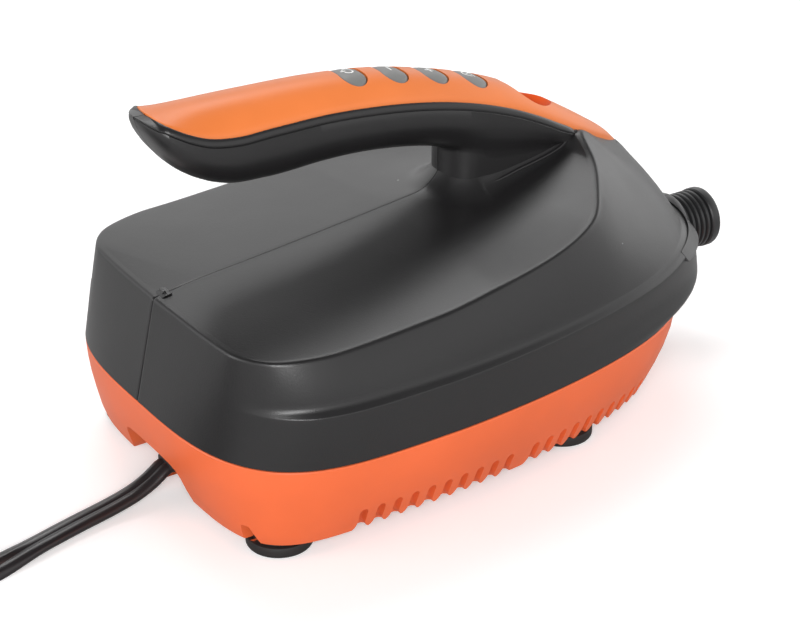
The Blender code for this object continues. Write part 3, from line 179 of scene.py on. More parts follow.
class PumpSettings(bpy.types.PropertyGroup):
    """Sizes and colours of the pump's finish."""

    shell_colour: bpy.props.FloatVectorProperty(
        name="Shell", description="Colour of the black mouldings", subtype="COLOR", size=3,
        default=(0.0105, 0.010, 0.0105), min=0, max=1,
    )
    tray_colour: bpy.props.FloatVectorProperty(
        name="Tray", description="Colour of the lower tray", subtype="COLOR", size=3,
        default=(0.76, 0.135, 0.040), min=0, max=1,
    )
    cover_colour: bpy.props.FloatVectorProperty(
        name="Handle cover", description="Colour of the handle's cover", subtype="COLOR", size=3,
        default=(0.72, 0.185, 0.042), min=0, max=1,
    )
    button_colour: bpy.props.FloatVectorProperty(
        name="Buttons", description="Colour of the press buttons", subtype="COLOR", size=3,
        default=(0.17, 0.17, 0.165), min=0, max=1,
    )
    crease: bpy.props.FloatProperty(
        name="Deck edge", description="Radius of the deck's crisp edge", unit="LENGTH",
        default=1.0 * MM, min=0.2 * MM, max=3 * MM,
    )
    wall: bpy.props.FloatProperty(
        name="Wall", description="Thickness of the moulded walls", unit="LENGTH",
        default=2.2 * MM, min=0.8 * MM, max=4 * MM,
    )
    parting_gap: bpy.props.FloatProperty(
        name="Parting line", description="Half the gap between the two shell halves", unit="LENGTH",
        default=0.12 * MM, min=0.02 * MM, max=0.5 * MM,
    )
    key_light: bpy.props.FloatProperty(
        name="Key light", description="Power of the softbox over the pump", unit="POWER",
        default=14.0, min=0,
    )


def settings():
    return bpy.context.scene.air_pump


# ---------------------------------------------------------------- shapes


def smooth_table(table, value, flowing=False):
    """Values of a table at one place along its first column, on a smooth curve through its rows.

    A flowing curve may swing a little past its rows; the other kind never does.
    """
    keys = np.array([row[0] for row in table], float)
    rows = np.array([row[1:] for row in table], float)
    value = min(max(value, keys[0]), keys[-1])
    k = int(min(max(np.searchsorted(keys, value) - 1, 0), len(keys) - 2))
    slopes = np.diff(rows, axis=0) / np.diff(keys)[:, None]
    same = slopes[:-1] * slopes[1:] > 0
    safe = np.where(same, slopes[:-1] + slopes[1:], 1)
    middle = np.where(same, 2 * slopes[:-1] * slopes[1:] / safe, 0)
    if flowing:
        steps = np.diff(keys)[:, None]
        middle = (slopes[:-1] * steps[1:] + slopes[1:] * steps[:-1]) / (steps[1:] + steps[:-1])
    tangents = np.vstack([slopes[:1], middle, slopes[-1:]])
    width = keys[k + 1] - keys[k]
    t = (value - keys[k]) / width
    return (
        rows[k] * (2 * t**3 - 3 * t**2 + 1) + rows[k + 1] * (3 * t**2 - 2 * t**3)
        + width * tangents[k] * (t**3 - 2 * t**2 + t) + width * tangents[k + 1] * (t**3 - t**2)
    )


def ease(value, low, high):
    t = min(max((value - low) / (high - low), 0), 1)
    return t * t * (3 - 2 * t)


def half_outline(shares, tip, rear, half, front_power=1.6, side_power=4.4, squareness=1.0):
    """Points on the right-hand half of the iron-shaped plan, from the front centre to the rear centre."""
    angle = np.linspace(0, math.pi, 1441)
    front = angle < math.pi / 2
    reach = np.where(front, tip - PLAN_CENTRE, rear - PLAN_CENTRE)
    power = np.where(front, front_power, 3.9 * squareness)
    spread = np.where(front, side_power, 3.3 * squareness)
    x = PLAN_CENTRE + reach * np.abs(np.cos(angle)) ** (2 / power)
    y = -half * np.abs(np.sin(angle)) ** (2 / spread)
    run = np.concatenate([[0], np.cumsum(np.hypot(np.diff(x), np.diff(y)))])
    at = np.array(shares) * run[-1]
    return np.column_stack([np.interp(at, run, x), np.interp(at, run, y)])


def corner(before, point, after, radius, count):
    """Points round a soft corner, in place of the corner's own point."""
    back = (before - point) / np.linalg.norm(before - point)
    on = (after - point) / max(np.linalg.norm(after - point), 1e-9)
    return [point + radius * ((1 - t) ** 2 * back + t**2 * on) for t in np.linspace(0, 1, count)]


def handle_at(share):
    half, rim, edge, crown, under = smooth_table(HANDLE, share, share > 0.12)
    return (HANDLE_START + HANDLE_LENGTH * share, half, rim,
            HANDLE_TOP - edge, HANDLE_TOP - crown, HANDLE_TOP - under)


def crown_power(x):
    """How flat the handle's cover is across: flatter at the controls than at the rear."""
    return 2.1 + 0.9 * ease(x, -60 * MM, 10 * MM)


def crown_height(x, y=0.0):
    """Height of the handle cover's outer surface over a place in the plan."""
    _, half, _, edge, crown, _ = handle_at((x - HANDLE_START) / HANDLE_LENGTH)
    return crown - (crown - edge) * min(abs(y) / half, 1) ** crown_power(x)


def neck_width(x):
    """Half the neck's width where it meets the deck."""
    half = handle_at((x - HANDLE_START) / HANDLE_LENGTH)[1]
    full = half - 0.6 * MM
    if x >= NECK_FULL:
        return full
    along = (NECK_FULL - x) / (NECK_FULL - NECK_EDGE)
    return full * math.sqrt(max(1 - along**2, 0))


def neck_rise(x, y):
    """Height that the soft corner at the neck's foot adds to the deck."""
    full = neck_width(max(x, NECK_FULL))
    if x >= NECK_FULL:
        distance = abs(y) - full
    else:
        reach = NECK_FULL - NECK_EDGE
        distance = (math.hypot((x - NECK_FULL) / reach, y / full) - 1) * reach
    radius = float(smooth_table(NECK_FILLET, x)[0])
    reach = 1.7 * radius
    return 0.9 * radius * max(1 - max(distance, -0.8 * MM) / reach, 0) ** 2.3


# ---------------------------------------------------------------- modelling by hand


def deselect():
    if bpy.context.object and bpy.context.object.mode != "OBJECT":
        bpy.ops.object.mode_set(mode="OBJECT")
    bpy.ops.object.select_all(action="DESELECT")


def only(obj):
    deselect()
    obj.select_set(True)
    bpy.context.view_layer.objects.active = obj
    return obj


def edit(obj, mode="VERT"):
    only(obj)
    bpy.ops.object.mode_set(mode="EDIT")
    bpy.ops.mesh.select_mode(type=mode)
    bpy.ops.mesh.select_all(action="SELECT")


def leave_edit():
    bpy.ops.object.mode_set(mode="OBJECT")


def named(name):
    obj = bpy.context.object
    obj.name = name
    obj.data.name = name
    return obj


def shaped_grid(name, places):
    """A grid primitive with each of its points moved to its place; places is columns by rows by three."""
    places = np.array(places, float)
    columns, rows = places.shape[:2]
    deselect()
    bpy.ops.mesh.primitive_grid_add(x_subdivisions=columns - 1, y_subdivisions=rows - 1, size=1)
    grid = named(name)
    flat = np.empty(len(grid.data.vertices) * 3)
    grid.data.vertices.foreach_get("co", flat)
    at = flat.reshape(-1, 3) + 0.5
    column = np.rint(at[:, 0] * (columns - 1)).astype(int)
    row = np.rint(at[:, 1] * (rows - 1)).astype(int)
    grid.data.vertices.foreach_set("co", places[column, row].ravel())
    grid.data.update()
    return grid


def swept(line, outline, rolls):
    """An outline carried along a line and rolled about it, as columns of points."""
    line = np.array(line)
    places = []
    for point, direction, roll in zip(line, np.gradient(line, axis=0), rolls):
        direction = direction / np.linalg.norm(direction)
        side = np.cross(direction, (0, 0, 1))
        side /= np.linalg.norm(side)
        up = np.cross(side, direction)
        flat = side * math.cos(roll) + up * math.sin(roll)
        thin = np.cross(flat, direction)
        places.append([point + flat * across + thin * through for across, through in outline])
    return places


def close_up(obj, distance=0.01 * MM):
    """Merge seams and poles, close what is left open and turn the faces outwards."""
    edit(obj)
    bpy.ops.mesh.remove_doubles(threshold=distance)
    bpy.ops.mesh.dissolve_degenerate(threshold=distance / 2)
    bpy.ops.mesh.select_all(action="SELECT")
    bpy.ops.mesh.fill_holes(sides=0)
    bpy.ops.mesh.select_all(action="SELECT")
    bpy.ops.mesh.normals_make_consistent(inside=False)
    leave_edit()
    return obj


def apply_modifier(obj, kind, **values):
    only(obj)
    step = obj.modifiers.new(kind.lower(), kind)
    for key, value in values.items():
        setattr(step, key, value)
    bpy.ops.object.modifier_apply(modifier=step.name)
    return obj


def carve(obj, cutter):
    """Cut one closed piece out of another; the cutter is then removed."""
    apply_modifier(obj, "BOOLEAN", operation="DIFFERENCE", solver="MANIFOLD", object=cutter)
    if len(obj.data.polygons) < 10:
        raise RuntimeError(f"cutting {cutter.name} out of {obj.name} left nothing")
    bpy.data.objects.remove(cutter, do_unlink=True)
    return obj


def smooth_by(obj, degrees=35):
    only(obj)
    bpy.ops.object.shade_smooth_by_angle(angle=math.radians(degrees), keep_sharp_edges=False)
    return obj


def join(name, *pieces):
    deselect()
    for piece in pieces:
        piece.select_set(True)
    bpy.context.view_layer.objects.active = pieces[0]
    if len(pieces) > 1:
        bpy.ops.object.join()
    return named(name)


def place(obj, matrix):
    """Move a piece and keep its object at the origin."""
    obj.data.transform(obj.matrix_world)
    obj.matrix_world = Matrix.Identity(4)
    obj.data.transform(matrix)
    obj.data.update()
    return obj


def flip(obj):
    edit(obj)
    bpy.ops.mesh.flip_normals()
    leave_edit()
    return obj


def mirrored(obj):
    """Turn a right-hand piece into the left-hand one."""
    return flip(place(obj, Matrix.Diagonal((1, -1, 1, 1))))


ALONG = {
    "X": Matrix(((0, 0, 1), (1, 0, 0), (0, 1, 0))).to_4x4(),
    "Y": Matrix(((0, 1, 0), (0, 0, 1), (1, 0, 0))).to_4x4(),
    "Z": Matrix.Identity(4),
}


def turned(name, profile, centre, axis="Z", sides=64):
    """A turned piece: a circle extruded and scaled from one (radius, height) to the next, then closed."""
    deselect()
    radius, height = profile[0]
    bpy.ops.mesh.primitive_circle_add(vertices=sides, radius=radius, location=(0, 0, 0))
    piece = named(name)
    edit(piece)
    bpy.ops.transform.translate(value=(0, 0, height))
    for (r0, z0), (r1, z1) in zip(profile, profile[1:]):
        bpy.ops.mesh.extrude_region_move(TRANSFORM_OT_translate={"value": (0, 0, z1 - z0)})
        bpy.ops.transform.resize(value=(r1 / r0, r1 / r0, 1))
    leave_edit()
    close_up(piece)
    return place(piece, Matrix.Translation(centre) @ ALONG[axis])


def finish_piece(obj, paint, body, *stands_for, slot=None, degrees=35):
    """Shade a piece, give it its material and let it ride on its body in place of its plain nodes."""
    smooth_by(obj, degrees)
    obj.data.materials.clear()
    obj.data.materials.append(paint)
    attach(obj, body)
    if stands_for:
        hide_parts(*stands_for)
    return obj


# ---------------------------------------------------------------- materials


def group_of(name, inputs, outputs):
    """A new shader node group with these float sockets and its input and output nodes."""
    group = bpy.data.node_groups.new(name, "ShaderNodeTree")
    for label, value in inputs:
        socket = group.interface.new_socket(name=label, in_out="INPUT", socket_type="NodeSocketFloat")
        socket.default_value = value
    for label in outputs:
        group.interface.new_socket(name=label, in_out="OUTPUT", socket_type="NodeSocketFloat")
    return group, group.nodes.new("NodeGroupInput"), group.nodes.new("NodeGroupOutput")


def math_node(tree, operation, first, second):
    node = tree.nodes.new("ShaderNodeMath")
    node.operation = operation
    for socket, value in zip(node.inputs, (first, second)):
        if isinstance(value, (int, float)):
            socket.default_value = value
        else:
            tree.links.new(value, socket)
    return node.outputs[0]


def noise(tree, coordinates, scale, detail=2.0, roughness=0.5):
    node = tree.nodes.new("ShaderNodeTexNoise")
    node.inputs["Detail"].default_value = detail
    node.inputs["Roughness"].default_value = roughness
    if isinstance(scale, (int, float)):
        node.inputs["Scale"].default_value = scale
    else:
        tree.links.new(scale, node.inputs["Scale"])
    tree.links.new(coordinates, node.inputs["Vector"])
    return node.outputs["Fac"]


def grain_group():
    """Moulded texture: fine pips, with slow changes of tone over the surface."""
    made = bpy.data.node_groups.get("Moulded grain")
    if made:
        return made
    group, given, out = group_of("Moulded grain", (("Scale", 2200.0),), ("Height", "Tone", "Specks"))
    links = group.links
    coordinates = group.nodes.new("ShaderNodeTexCoord").outputs["Object"]
    pips = noise(group, coordinates, given.outputs["Scale"], 3.0, 0.6)
    soft = noise(group, coordinates, 420.0, 2.0)
    links.new(math_node(group, "ADD", pips, math_node(group, "MULTIPLY", soft, 0.35)), out.inputs["Height"])
    slow = noise(group, coordinates, 26.0, 3.0, 0.55)
    links.new(slow, out.inputs["Tone"])
    cells = group.nodes.new("ShaderNodeTexVoronoi")
    cells.inputs["Scale"].default_value = 70.0
    cells.inputs["Randomness"].default_value = 1.0
    links.new(coordinates, cells.inputs["Vector"])
    near = math_node(group, "LESS_THAN", cells.outputs["Distance"], 0.022)
    chosen = math_node(group, "GREATER_THAN", noise(group, coordinates, 55.0, 1.0), 0.60)
    links.new(math_node(group, "MULTIPLY", near, chosen), out.inputs["Specks"])
    return group


def brushed_group():
    """Fine turning marks for metal parts."""
    made = bpy.data.node_groups.get("Turning marks")
    if made:
        return made
    group, given, out = group_of("Turning marks", (("Scale", 900.0),), ("Height", "Tone"))
    coordinates = group.nodes.new("ShaderNodeTexCoord").outputs["Object"]
    stretch = group.nodes.new("ShaderNodeMapping")
    stretch.inputs["Scale"].default_value = (0.12, 1.0, 1.0)
    group.links.new(coordinates, stretch.inputs["Vector"])
    marks = noise(group, stretch.outputs["Vector"], given.outputs["Scale"], 4.0, 0.65)
    group.links.new(marks, out.inputs["Height"])
    group.links.new(noise(group, coordinates, 60.0, 3.0), out.inputs["Tone"])
    return group


def new_material(name):
    paint = bpy.data.materials.new(name)
    paint.use_nodes = True
    tree = paint.node_tree
    shader = tree.nodes["Principled BSDF"]
    return paint, tree, shader


def ranged(tree, value, low, high):
    node = tree.nodes.new("ShaderNodeMapRange")
    node.inputs["From Min"].default_value = 0.3
    node.inputs["From Max"].default_value = 0.7
    node.inputs["To Min"].default_value = low
    node.inputs["To Max"].default_value = high
    tree.links.new(value, node.inputs["Value"])
    return node.outputs["Result"]


def tinted(tree, factor, first, second):
    node = tree.nodes.new("ShaderNodeMix")
    node.data_type = "RGBA"
    node.inputs["A"].default_value = (*first, 1)
    node.inputs["B"].default_value = (*second, 1)
    tree.links.new(factor, node.inputs["Factor"])
    return node.outputs["Result"]


def scaled(colour, factor):
    return tuple(min(channel * factor, 1) for channel in colour)


def plastic(name, colour, roughness, scale=2200.0, depth=0.03, spread=0.04, specks=0.0, specular=0.5):
    """Moulded plastic with grain, slow changes of tone and gloss, and a few pale specks."""
    paint, tree, shader = new_material(name)
    grain = tree.nodes.new("ShaderNodeGroup")
    grain.node_tree = grain_group()
    grain.inputs["Scale"].default_value = scale
    tone = ranged(tree, grain.outputs["Tone"], 0.0, 1.0)
    base = tinted(tree, tone, scaled(colour, 0.94), scaled(colour, 1.06))
    if specks:
        mix = tree.nodes.new("ShaderNodeMix")
        mix.data_type = "RGBA"
        tree.links.new(math_node(tree, "MULTIPLY", grain.outputs["Specks"], specks), mix.inputs["Factor"])
        tree.links.new(base, mix.inputs["A"])
        mix.inputs["B"].default_value = (0.5, 0.5, 0.5, 1)
        base = mix.outputs["Result"]
    tree.links.new(base, shader.inputs["Base Color"])
    tree.links.new(ranged(tree, grain.outputs["Tone"], roughness - spread, roughness + spread),
                   shader.inputs["Roughness"])
    shader.inputs["Specular IOR Level"].default_value = specular
    bump = tree.nodes.new("ShaderNodeBump")
    bump.inputs["Strength"].default_value = 1.0
    bump.inputs["Distance"].default_value = depth * MM
    tree.links.new(grain.outputs["Height"], bump.inputs["Height"])
    tree.links.new(bump.outputs["Normal"], shader.inputs["Normal"])
    return paint


def metal(name, colour, roughness):
    paint, tree, shader = new_material(name)
    marks = tree.nodes.new("ShaderNodeGroup")
    marks.node_tree = brushed_group()
    tree.links.new(tinted(tree, marks.outputs["Tone"], scaled(colour, 0.85), scaled(colour, 1.1)),
                   shader.inputs["Base Color"])
    tree.links.new(ranged(tree, marks.outputs["Height"], roughness - 0.08, roughness + 0.08),
                   shader.inputs["Roughness"])
    shader.inputs["Metallic"].default_value = 1.0
    bump = tree.nodes.new("ShaderNodeBump")
    bump.inputs["Strength"].default_value = 0.5
    bump.inputs["Distance"].default_value = 0.02 * MM
    tree.links.new(marks.outputs["Height"], bump.inputs["Height"])
    tree.links.new(bump.outputs["Normal"], shader.inputs["Normal"])
    return paint


def circuit(name):
    """Green lacquered board with copper tracks under the lacquer."""
    paint, tree, shader = new_material(name)
    coordinates = tree.nodes.new("ShaderNodeTexCoord").outputs["Object"]
    bricks = tree.nodes.new("ShaderNodeTexBrick")
    bricks.inputs["Scale"].default_value = 260.0
    bricks.inputs["Mortar Size"].default_value = 0.06
    bricks.inputs["Color1"].default_value = (0.012, 0.10, 0.035, 1)
    bricks.inputs["Color2"].default_value = (0.016, 0.13, 0.045, 1)
    bricks.inputs["Mortar"].default_value = (0.05, 0.24, 0.07, 1)
    tree.links.new(coordinates, bricks.inputs["Vector"])
    tree.links.new(bricks.outputs["Color"], shader.inputs["Base Color"])
    tree.links.new(ranged(tree, noise(tree, coordinates, 300.0), 0.25, 0.4), shader.inputs["Roughness"])
    return paint


def paints():
    """The pump's materials by name, made once."""
    names = ("shell", "tray", "cover", "well_painted_shade", "spout", "button", "symbol", "lens", "rubber", "cord", "tie",
             "grip", "nylon", "steel", "brass", "alloy", "board")
    found = {name: bpy.data.materials.get("pump_" + name) for name in names}
    if all(found.values()):
        return found
    pick = settings()
    shell = tuple(pick.shell_colour)
    return {
        "shell": plastic("pump_shell", shell, 0.36, 1900.0, 0.035, 0.03, 0.6),
        # The display's scoop: the cover's orange made darker and deeper, painted shade for the depth of the
        # hollow.
        "well_painted_shade": plastic("pump_well_painted_shade", (0.66, 0.085, 0.010), 0.55, 1500.0, 0.02, 0.04, 0.0, 0.2),
        "tray": plastic("pump_tray", tuple(pick.tray_colour), 0.42, 1500.0, 0.02, 0.04, 0.0, 0.4),
        "cover": plastic("pump_cover", tuple(pick.cover_colour), 0.40, 1500.0, 0.02, 0.04, 0.0, 0.4),
        "spout": plastic("pump_spout", (0.016, 0.016, 0.017), 0.42, 1600.0, 0.04),
        "button": plastic("pump_button", tuple(pick.button_colour), 0.42, 2600.0, 0.03),
        "symbol": plastic("pump_symbol", (0.85, 0.85, 0.84), 0.5, 3000.0, 0.01),
        "lens": plastic("pump_lens", (0.012, 0.012, 0.016), 0.08, 200.0, 0.001, 0.02),
        "rubber": plastic("pump_rubber", (0.009, 0.0085, 0.0085), 0.6, 1200.0, 0.05),
        "cord": plastic("pump_cord", (0.012, 0.010, 0.011), 0.30, 900.0, 0.02, 0.05),
        "tie": plastic("pump_tie", (0.03, 0.03, 0.03), 0.6, 1400.0, 0.06),
        "grip": plastic("pump_grip", (0.015, 0.015, 0.016), 0.45, 1300.0, 0.05),
        "nylon": plastic("pump_nylon", (0.72, 0.70, 0.64), 0.45, 800.0, 0.02),
        "steel": metal("pump_steel", (0.56, 0.56, 0.57), 0.34),
        "brass": metal("pump_brass", (0.72, 0.50, 0.20), 0.32),
        "alloy": metal("pump_alloy", (0.62, 0.63, 0.64), 0.40),
        "board": circuit("pump_board"),
    }


# ---------------------------------------------------------------- upper shell


def shell_shares(count):
    """Shares of the way round the body, closer together at the parting line."""
    return np.concatenate([[0.0, 0.0016], np.linspace(0.004, 0.996, count), [0.9984, 1.0]])


def nose_climb(share):
    """How far round the nose a share of the outline is, from 1 at the front to 0 along the side."""
    return 1 - ease(share, 0.03, 0.27)


def shell_levels(shares):
    """The wall's plan at five heights from the seam to the top of its ledge."""
    plans = (
        (0.2 * MM, SEAM_TIP, REAR, HALF, 1.6, 4.4),
        (3.3 * MM, NOSE - 8.5 * MM, REAR, HALF, 1.5, 3.6),
        (9.0 * MM, NOSE - 4.5 * MM, REAR, HALF - 0.2 * MM, 1.45, 3.1),
        (17.0 * MM, NOSE - 6.0 * MM, REAR + 0.4 * MM, HALF - 0.8 * MM, 1.5, 3.2),
        (18.7 * MM, NOSE - 7.2 * MM, REAR + 1.6 * MM, HALF - 2.7 * MM, 1.5, 3.2),
    )
    levels = []
    # Round the nose the ledge climbs towards the spout and draws back.
    climb = np.array([nose_climb(share) for share in shares])
    for number, (rise, tip, rear, half, front_power, side_power) in enumerate(plans):
        plan = half_outline(shares, tip, rear, half, front_power, side_power)
        ledge = climb * (number > 2)
        plan[:, 0] -= 2.6 * MM * ledge
        levels.append(np.column_stack([plan, SEAM + rise + 3.2 * MM * ledge]))
    return np.array(levels)


def deck_edge(share):
    x, inward, rise = smooth_table(DECK_EDGE, share)
    return np.array([SEAM_TIP + x, -max(HALF - inward, 0), DECK + rise])


def deck_column(share, edge, crease, count):
    """Points over the deck from just inside its edge to the parting line, rising softly to the neck."""
    x, rise = smooth_table(DECK_SPINE, share)
    middle = np.array([SEAM_TIP + x, 0.0, DECK + rise])
    along = deck_edge(min(share + 0.004, 1)) - deck_edge(max(share - 0.004, 0))
    if share in (0, 1):
        along = np.array([0, -1.0 if share == 0 else 1.0, 0])
    inward = np.array([along[1], -along[0], 0.0])
    inward /= np.linalg.norm(inward)
    hollow = 0.9 + 0.9 * min(max((edge[0] + 20 * MM) / (45 * MM), 0), 1)
    span = np.linalg.norm((middle - edge)[:2])
    column = []
    for reach in (0.5 * crease, crease, 2.2 * crease):
        point = edge + inward * min(reach, 0.3 * span)
        t = min(reach / span, 0.3)
        point[2] = edge[2] + (middle[2] - edge[2]) * t**hollow
        column.append(point)
    start = column[-1]
    first = min(2.2 * crease / span, 0.3)
    for part in np.linspace(0, 1, count)[1:]:
        point = start + (middle - start) * part
        t = first + (1 - first) * part
        point[2] = edge[2] + (middle[2] - edge[2]) * t**hollow
        if -30 * MM < point[0] < 47 * MM:
            point[2] += neck_rise(point[0], point[1]) * (1 - ease(point[0], 40 * MM, 47 * MM))
        column.append(point)
    return column


def shell_column(share, levels, crease, deck_count):
    """One upright line of the shell: wall, ledge, upper wall, crisp edge and deck."""
    edge = deck_edge(share)
    # The ledge runs out round the rear corners, where the wall is plain.
    plain = ease(share, 0.735, 0.83)
    low = levels[0]
    levels = [level + (low + (edge - low) * (level[2] - low[2]) / (edge[2] - low[2]) - level) * plain
              for level in levels]
    low, knee, belly, lip, shelf = levels
    column = []
    chain = [low + (low - knee), low, knee, belly, lip, lip + (lip - belly)]
    for k in range(1, 4):
        a, b, c, d = chain[k - 1:k + 3]
        for t in np.linspace(0, 1, 5, endpoint=False):
            column.append(0.5 * (2 * b + (c - a) * t + (2 * a - 5 * b + 4 * c - d) * t**2
                                 + (3 * b - a - 3 * c + d) * t**3))
    soft = nose_climb(share)
    column += corner(belly, lip, shelf, (0.3 + 0.5 * soft) * MM, 4)
    column += corner(lip, shelf, edge, (1.0 + 3.0 * soft) * MM, 5)
    outward = np.array([edge[0] - PLAN_CENTRE, edge[1] * 1.2, 10 * MM])
    outward /= np.linalg.norm(outward)
    bulge = (0.5 * MM + 1.4 * MM * (1 - ease(share, 0.08, 0.28))) * (1 - plain)
    start = column[-1]
    for t in np.linspace(0, 1, 11, endpoint=False)[1:]:
        column.append(start + (edge - start) * t + outward * bulge * 4 * t * (1 - t))
    deck = deck_column(share, edge, crease, deck_count)
    return column + corner(column[-1], edge, deck[1], crease, 5) + deck[2:]


def smooth_dome(places, columns, deck_count):
    """Even out the nose's surface round the body, more and more away from the deck's crisp edge."""
    wall = places.shape[1] - deck_count - 7
    smooth = places.copy()
    for row in range(wall - 10, wall):
        part = (wall - row) / 10
        width = int(26 * part)
        if width < 1:
            continue
        kernel = np.hanning(2 * width + 3)
        kernel /= kernel.sum()
        line = places[:, row]
        # Straight line from the ledge to the edge, so that only the swelling and the kink are evened out.
        across = np.array([1.0, -1.0, 1.0])
        padded = np.vstack([line[1:width + 2][::-1] * across, line, np.repeat(line[-1:], width + 1, axis=0)])
        evened = np.column_stack([np.convolve(padded[:, k], kernel, mode="valid") for k in range(3)])
        fade = 1 - np.clip((np.arange(columns) / columns - 0.30) / 0.12, 0, 1)
        smooth[:, row] = line + (evened - line) * fade[:, None]
    return smooth


def shell_sheet(name, crease, gap, count=260, deck_count=60):
    shares = shell_shares(count)
    levels = shell_levels(shares)
    places = np.array([shell_column(share, levels[:, number], crease, deck_count)
                       for number, share in enumerate(shares)])
    places = smooth_dome(places, len(shares), deck_count)
    # The parting line: each half turns in a little where it meets the other.
    places[:, -1, 1] = -gap
    places[:, -1, 2] -= 0.12 * MM
    places[-1, -deck_count - 8:-1, 2] -= 0.12 * MM
    places[:, -2, 1] = np.minimum(places[:, -2, 1], -3 * gap)
    places[:, :-1, 1] = np.minimum(places[:, :-1, 1], -2 * gap)
    for end in (0, -1):
        places[end, :, 1] = -gap
        places[end, :-1, 0] += (0.15 if end else -0.15) * MM
    return shaped_grid(name, places)


def handle_section(share):
    """Right-hand side of the handle's section, from the cover's seat round to the centre below."""
    x, half, rim, edge, _, under = handle_at(share)
    neck = ease(x, NECK_EDGE, NECK_FULL + 4 * MM)
    # Towards its front end the rim sinks under the nose, which takes its place.
    sink = ease(share, 0.84, BAND_END) * 2.2 * MM
    half -= sink * 0.7
    rim -= sink
    edge -= sink * 0.5
    depth = edge - under
    tall = min(2.1 * MM, 0.25 * depth)
    seat = min(1.2 * MM, 0.3 * depth)
    points = [(0.0, edge - seat), (half * 0.5, edge - seat), (half * 0.93, edge - seat)]
    if share > COVER_START:
        points += [(half + 0.05 * MM, edge - seat), (half + 0.10 * MM, edge - 0.25 * MM)]
        inner = half + 0.35 * MM
    else:
        points = [(0.0, edge - 0.05 * MM), (half * 0.5, edge - 0.05 * MM), (half * 0.93, edge - 0.05 * MM),
                  (half, edge - 0.05 * MM), (half, edge - 0.05 * MM)]
        inner = half
    span = max(rim - inner, 0.02 * MM)
    points += [(inner, edge - 0.03 * tall), (inner + 0.35 * span, edge - 0.12 * tall),
               (inner + 0.68 * span, edge - 0.38 * tall), (inner + 0.9 * span, edge - 0.70 * tall),
               (inner + 0.99 * span, edge - 0.86 * tall), (rim, edge - 0.95 * tall),
               (inner + 0.96 * span, edge - 1.0 * tall)]
    dip = min(0.45 * MM, 0.3 * span)
    points += [(rim - dip, edge - 1.03 * tall), (rim - dip, edge - 1.13 * tall),
               (rim - 0.15 * dip, edge - 1.2 * tall)]
    start = 1.28 * tall
    free = ((0.00, 0.1), (0.15, 0.35), (0.32, 0.35), (0.48, -0.2), (0.62, -1.3))
    wall = ((0.00, 0.1), (0.15, 0.0), (0.32, -0.2), (0.48, -0.5), (0.62, -0.8))
    for (fraction, wide), (_, narrow) in zip(free, wall):
        width = rim * (1 + (wide + (narrow - wide) * neck) * MM / (15 * MM))
        points.append((width, edge - start - fraction * (depth - start)))
    full = neck_width(max(x, NECK_FULL))
    foot = neck_width(x) if x > NECK_EDGE else 0.0
    belly = ((0.74, 0.83, 0.75), (0.84, 0.68, 0.88), (0.92, 0.50, 0.96), (0.97, 0.30, 1.0))
    for fraction, part, blend in belly:
        beside = rim + (full - rim) * blend
        width = max(rim * part + (beside - rim * part) * neck, foot)
        points.append((width, edge - start - fraction * (depth - start)))
    floor = DECK - 2 * MM
    points.append((max(foot, rim * 0.12 * (1 - neck)), under))
    points.append((foot, under - 1 * MM if foot else under))
    points.append((foot, floor if foot else under))
    points.append((0.0, floor if foot else under))
    return x, points


def handle_sheet(name, gap, count=150):
    shares = np.unique(np.concatenate([
        np.linspace(0.0132, BAND_END, count), np.linspace(0.0132, 0.06, 40), np.linspace(0.58, 0.66, 30),
        [COVER_START - 0.0001, COVER_START + 0.0001]]))
    places = []
    for share in shares:
        x, points = handle_section(share)
        places.append([(x, -max(y, gap), z) for y, z in points])
    return close_up(shaped_grid(name, places), WELD)


def neck_bead(name, body):
    """The fine rounded edge where the deck's scoop ends at the neck, sinking into the deck behind."""
    line = []
    bpy.context.view_layer.update()
    for x in np.linspace(10 * MM, 47 * MM, 75):
        y = -(neck_width(x) + 1.1 * MM)
        found, hit, _, _ = body.ray_cast(Vector((x, y, 1.0)), Vector((0, 0, -1)))
        if not found:
            raise RuntimeError("the deck has no surface beside the neck")
        sink = 1.0 * MM * (1 - ease(x, 10 * MM, 24 * MM)) - 0.1 * MM
        line.append((x, y, hit.z - sink))
    radius = 0.6 * MM
    ring = [(radius * math.cos(angle), radius * math.sin(angle)) for angle in np.linspace(0, math.tau, 15)]
    return close_up(shaped_grid(name, swept(line, ring, np.zeros(len(line)))), WELD)


def spout_boss(name, gap):
    """Soft collar between the nose and the spout, one half of it."""
    rings = ((-22, 21), (-16, 17.6), (-11, 15.2), (-7, 13.7), (-3.5, 12.8), (-0.5, 12.4), (1.0, 12.2),
             (1.7, 11.9), (2.1, 11.4), (2.2, 10.9), (2.1, 8.9), (-6, 8.9))
    places = []
    for along, radius in rings:
        row = []
        for angle in np.linspace(math.pi / 2, -math.pi / 2, 41):
            y = -max(radius * MM * math.cos(angle), gap)
            height = radius * MM * math.sin(angle) * (0.97 if along < -6 else 1)
            row.append((NOSE + along * MM, y, SPOUT_AXIS + height))
        places.append(row)
    return close_up(shaped_grid(name, places), WELD)


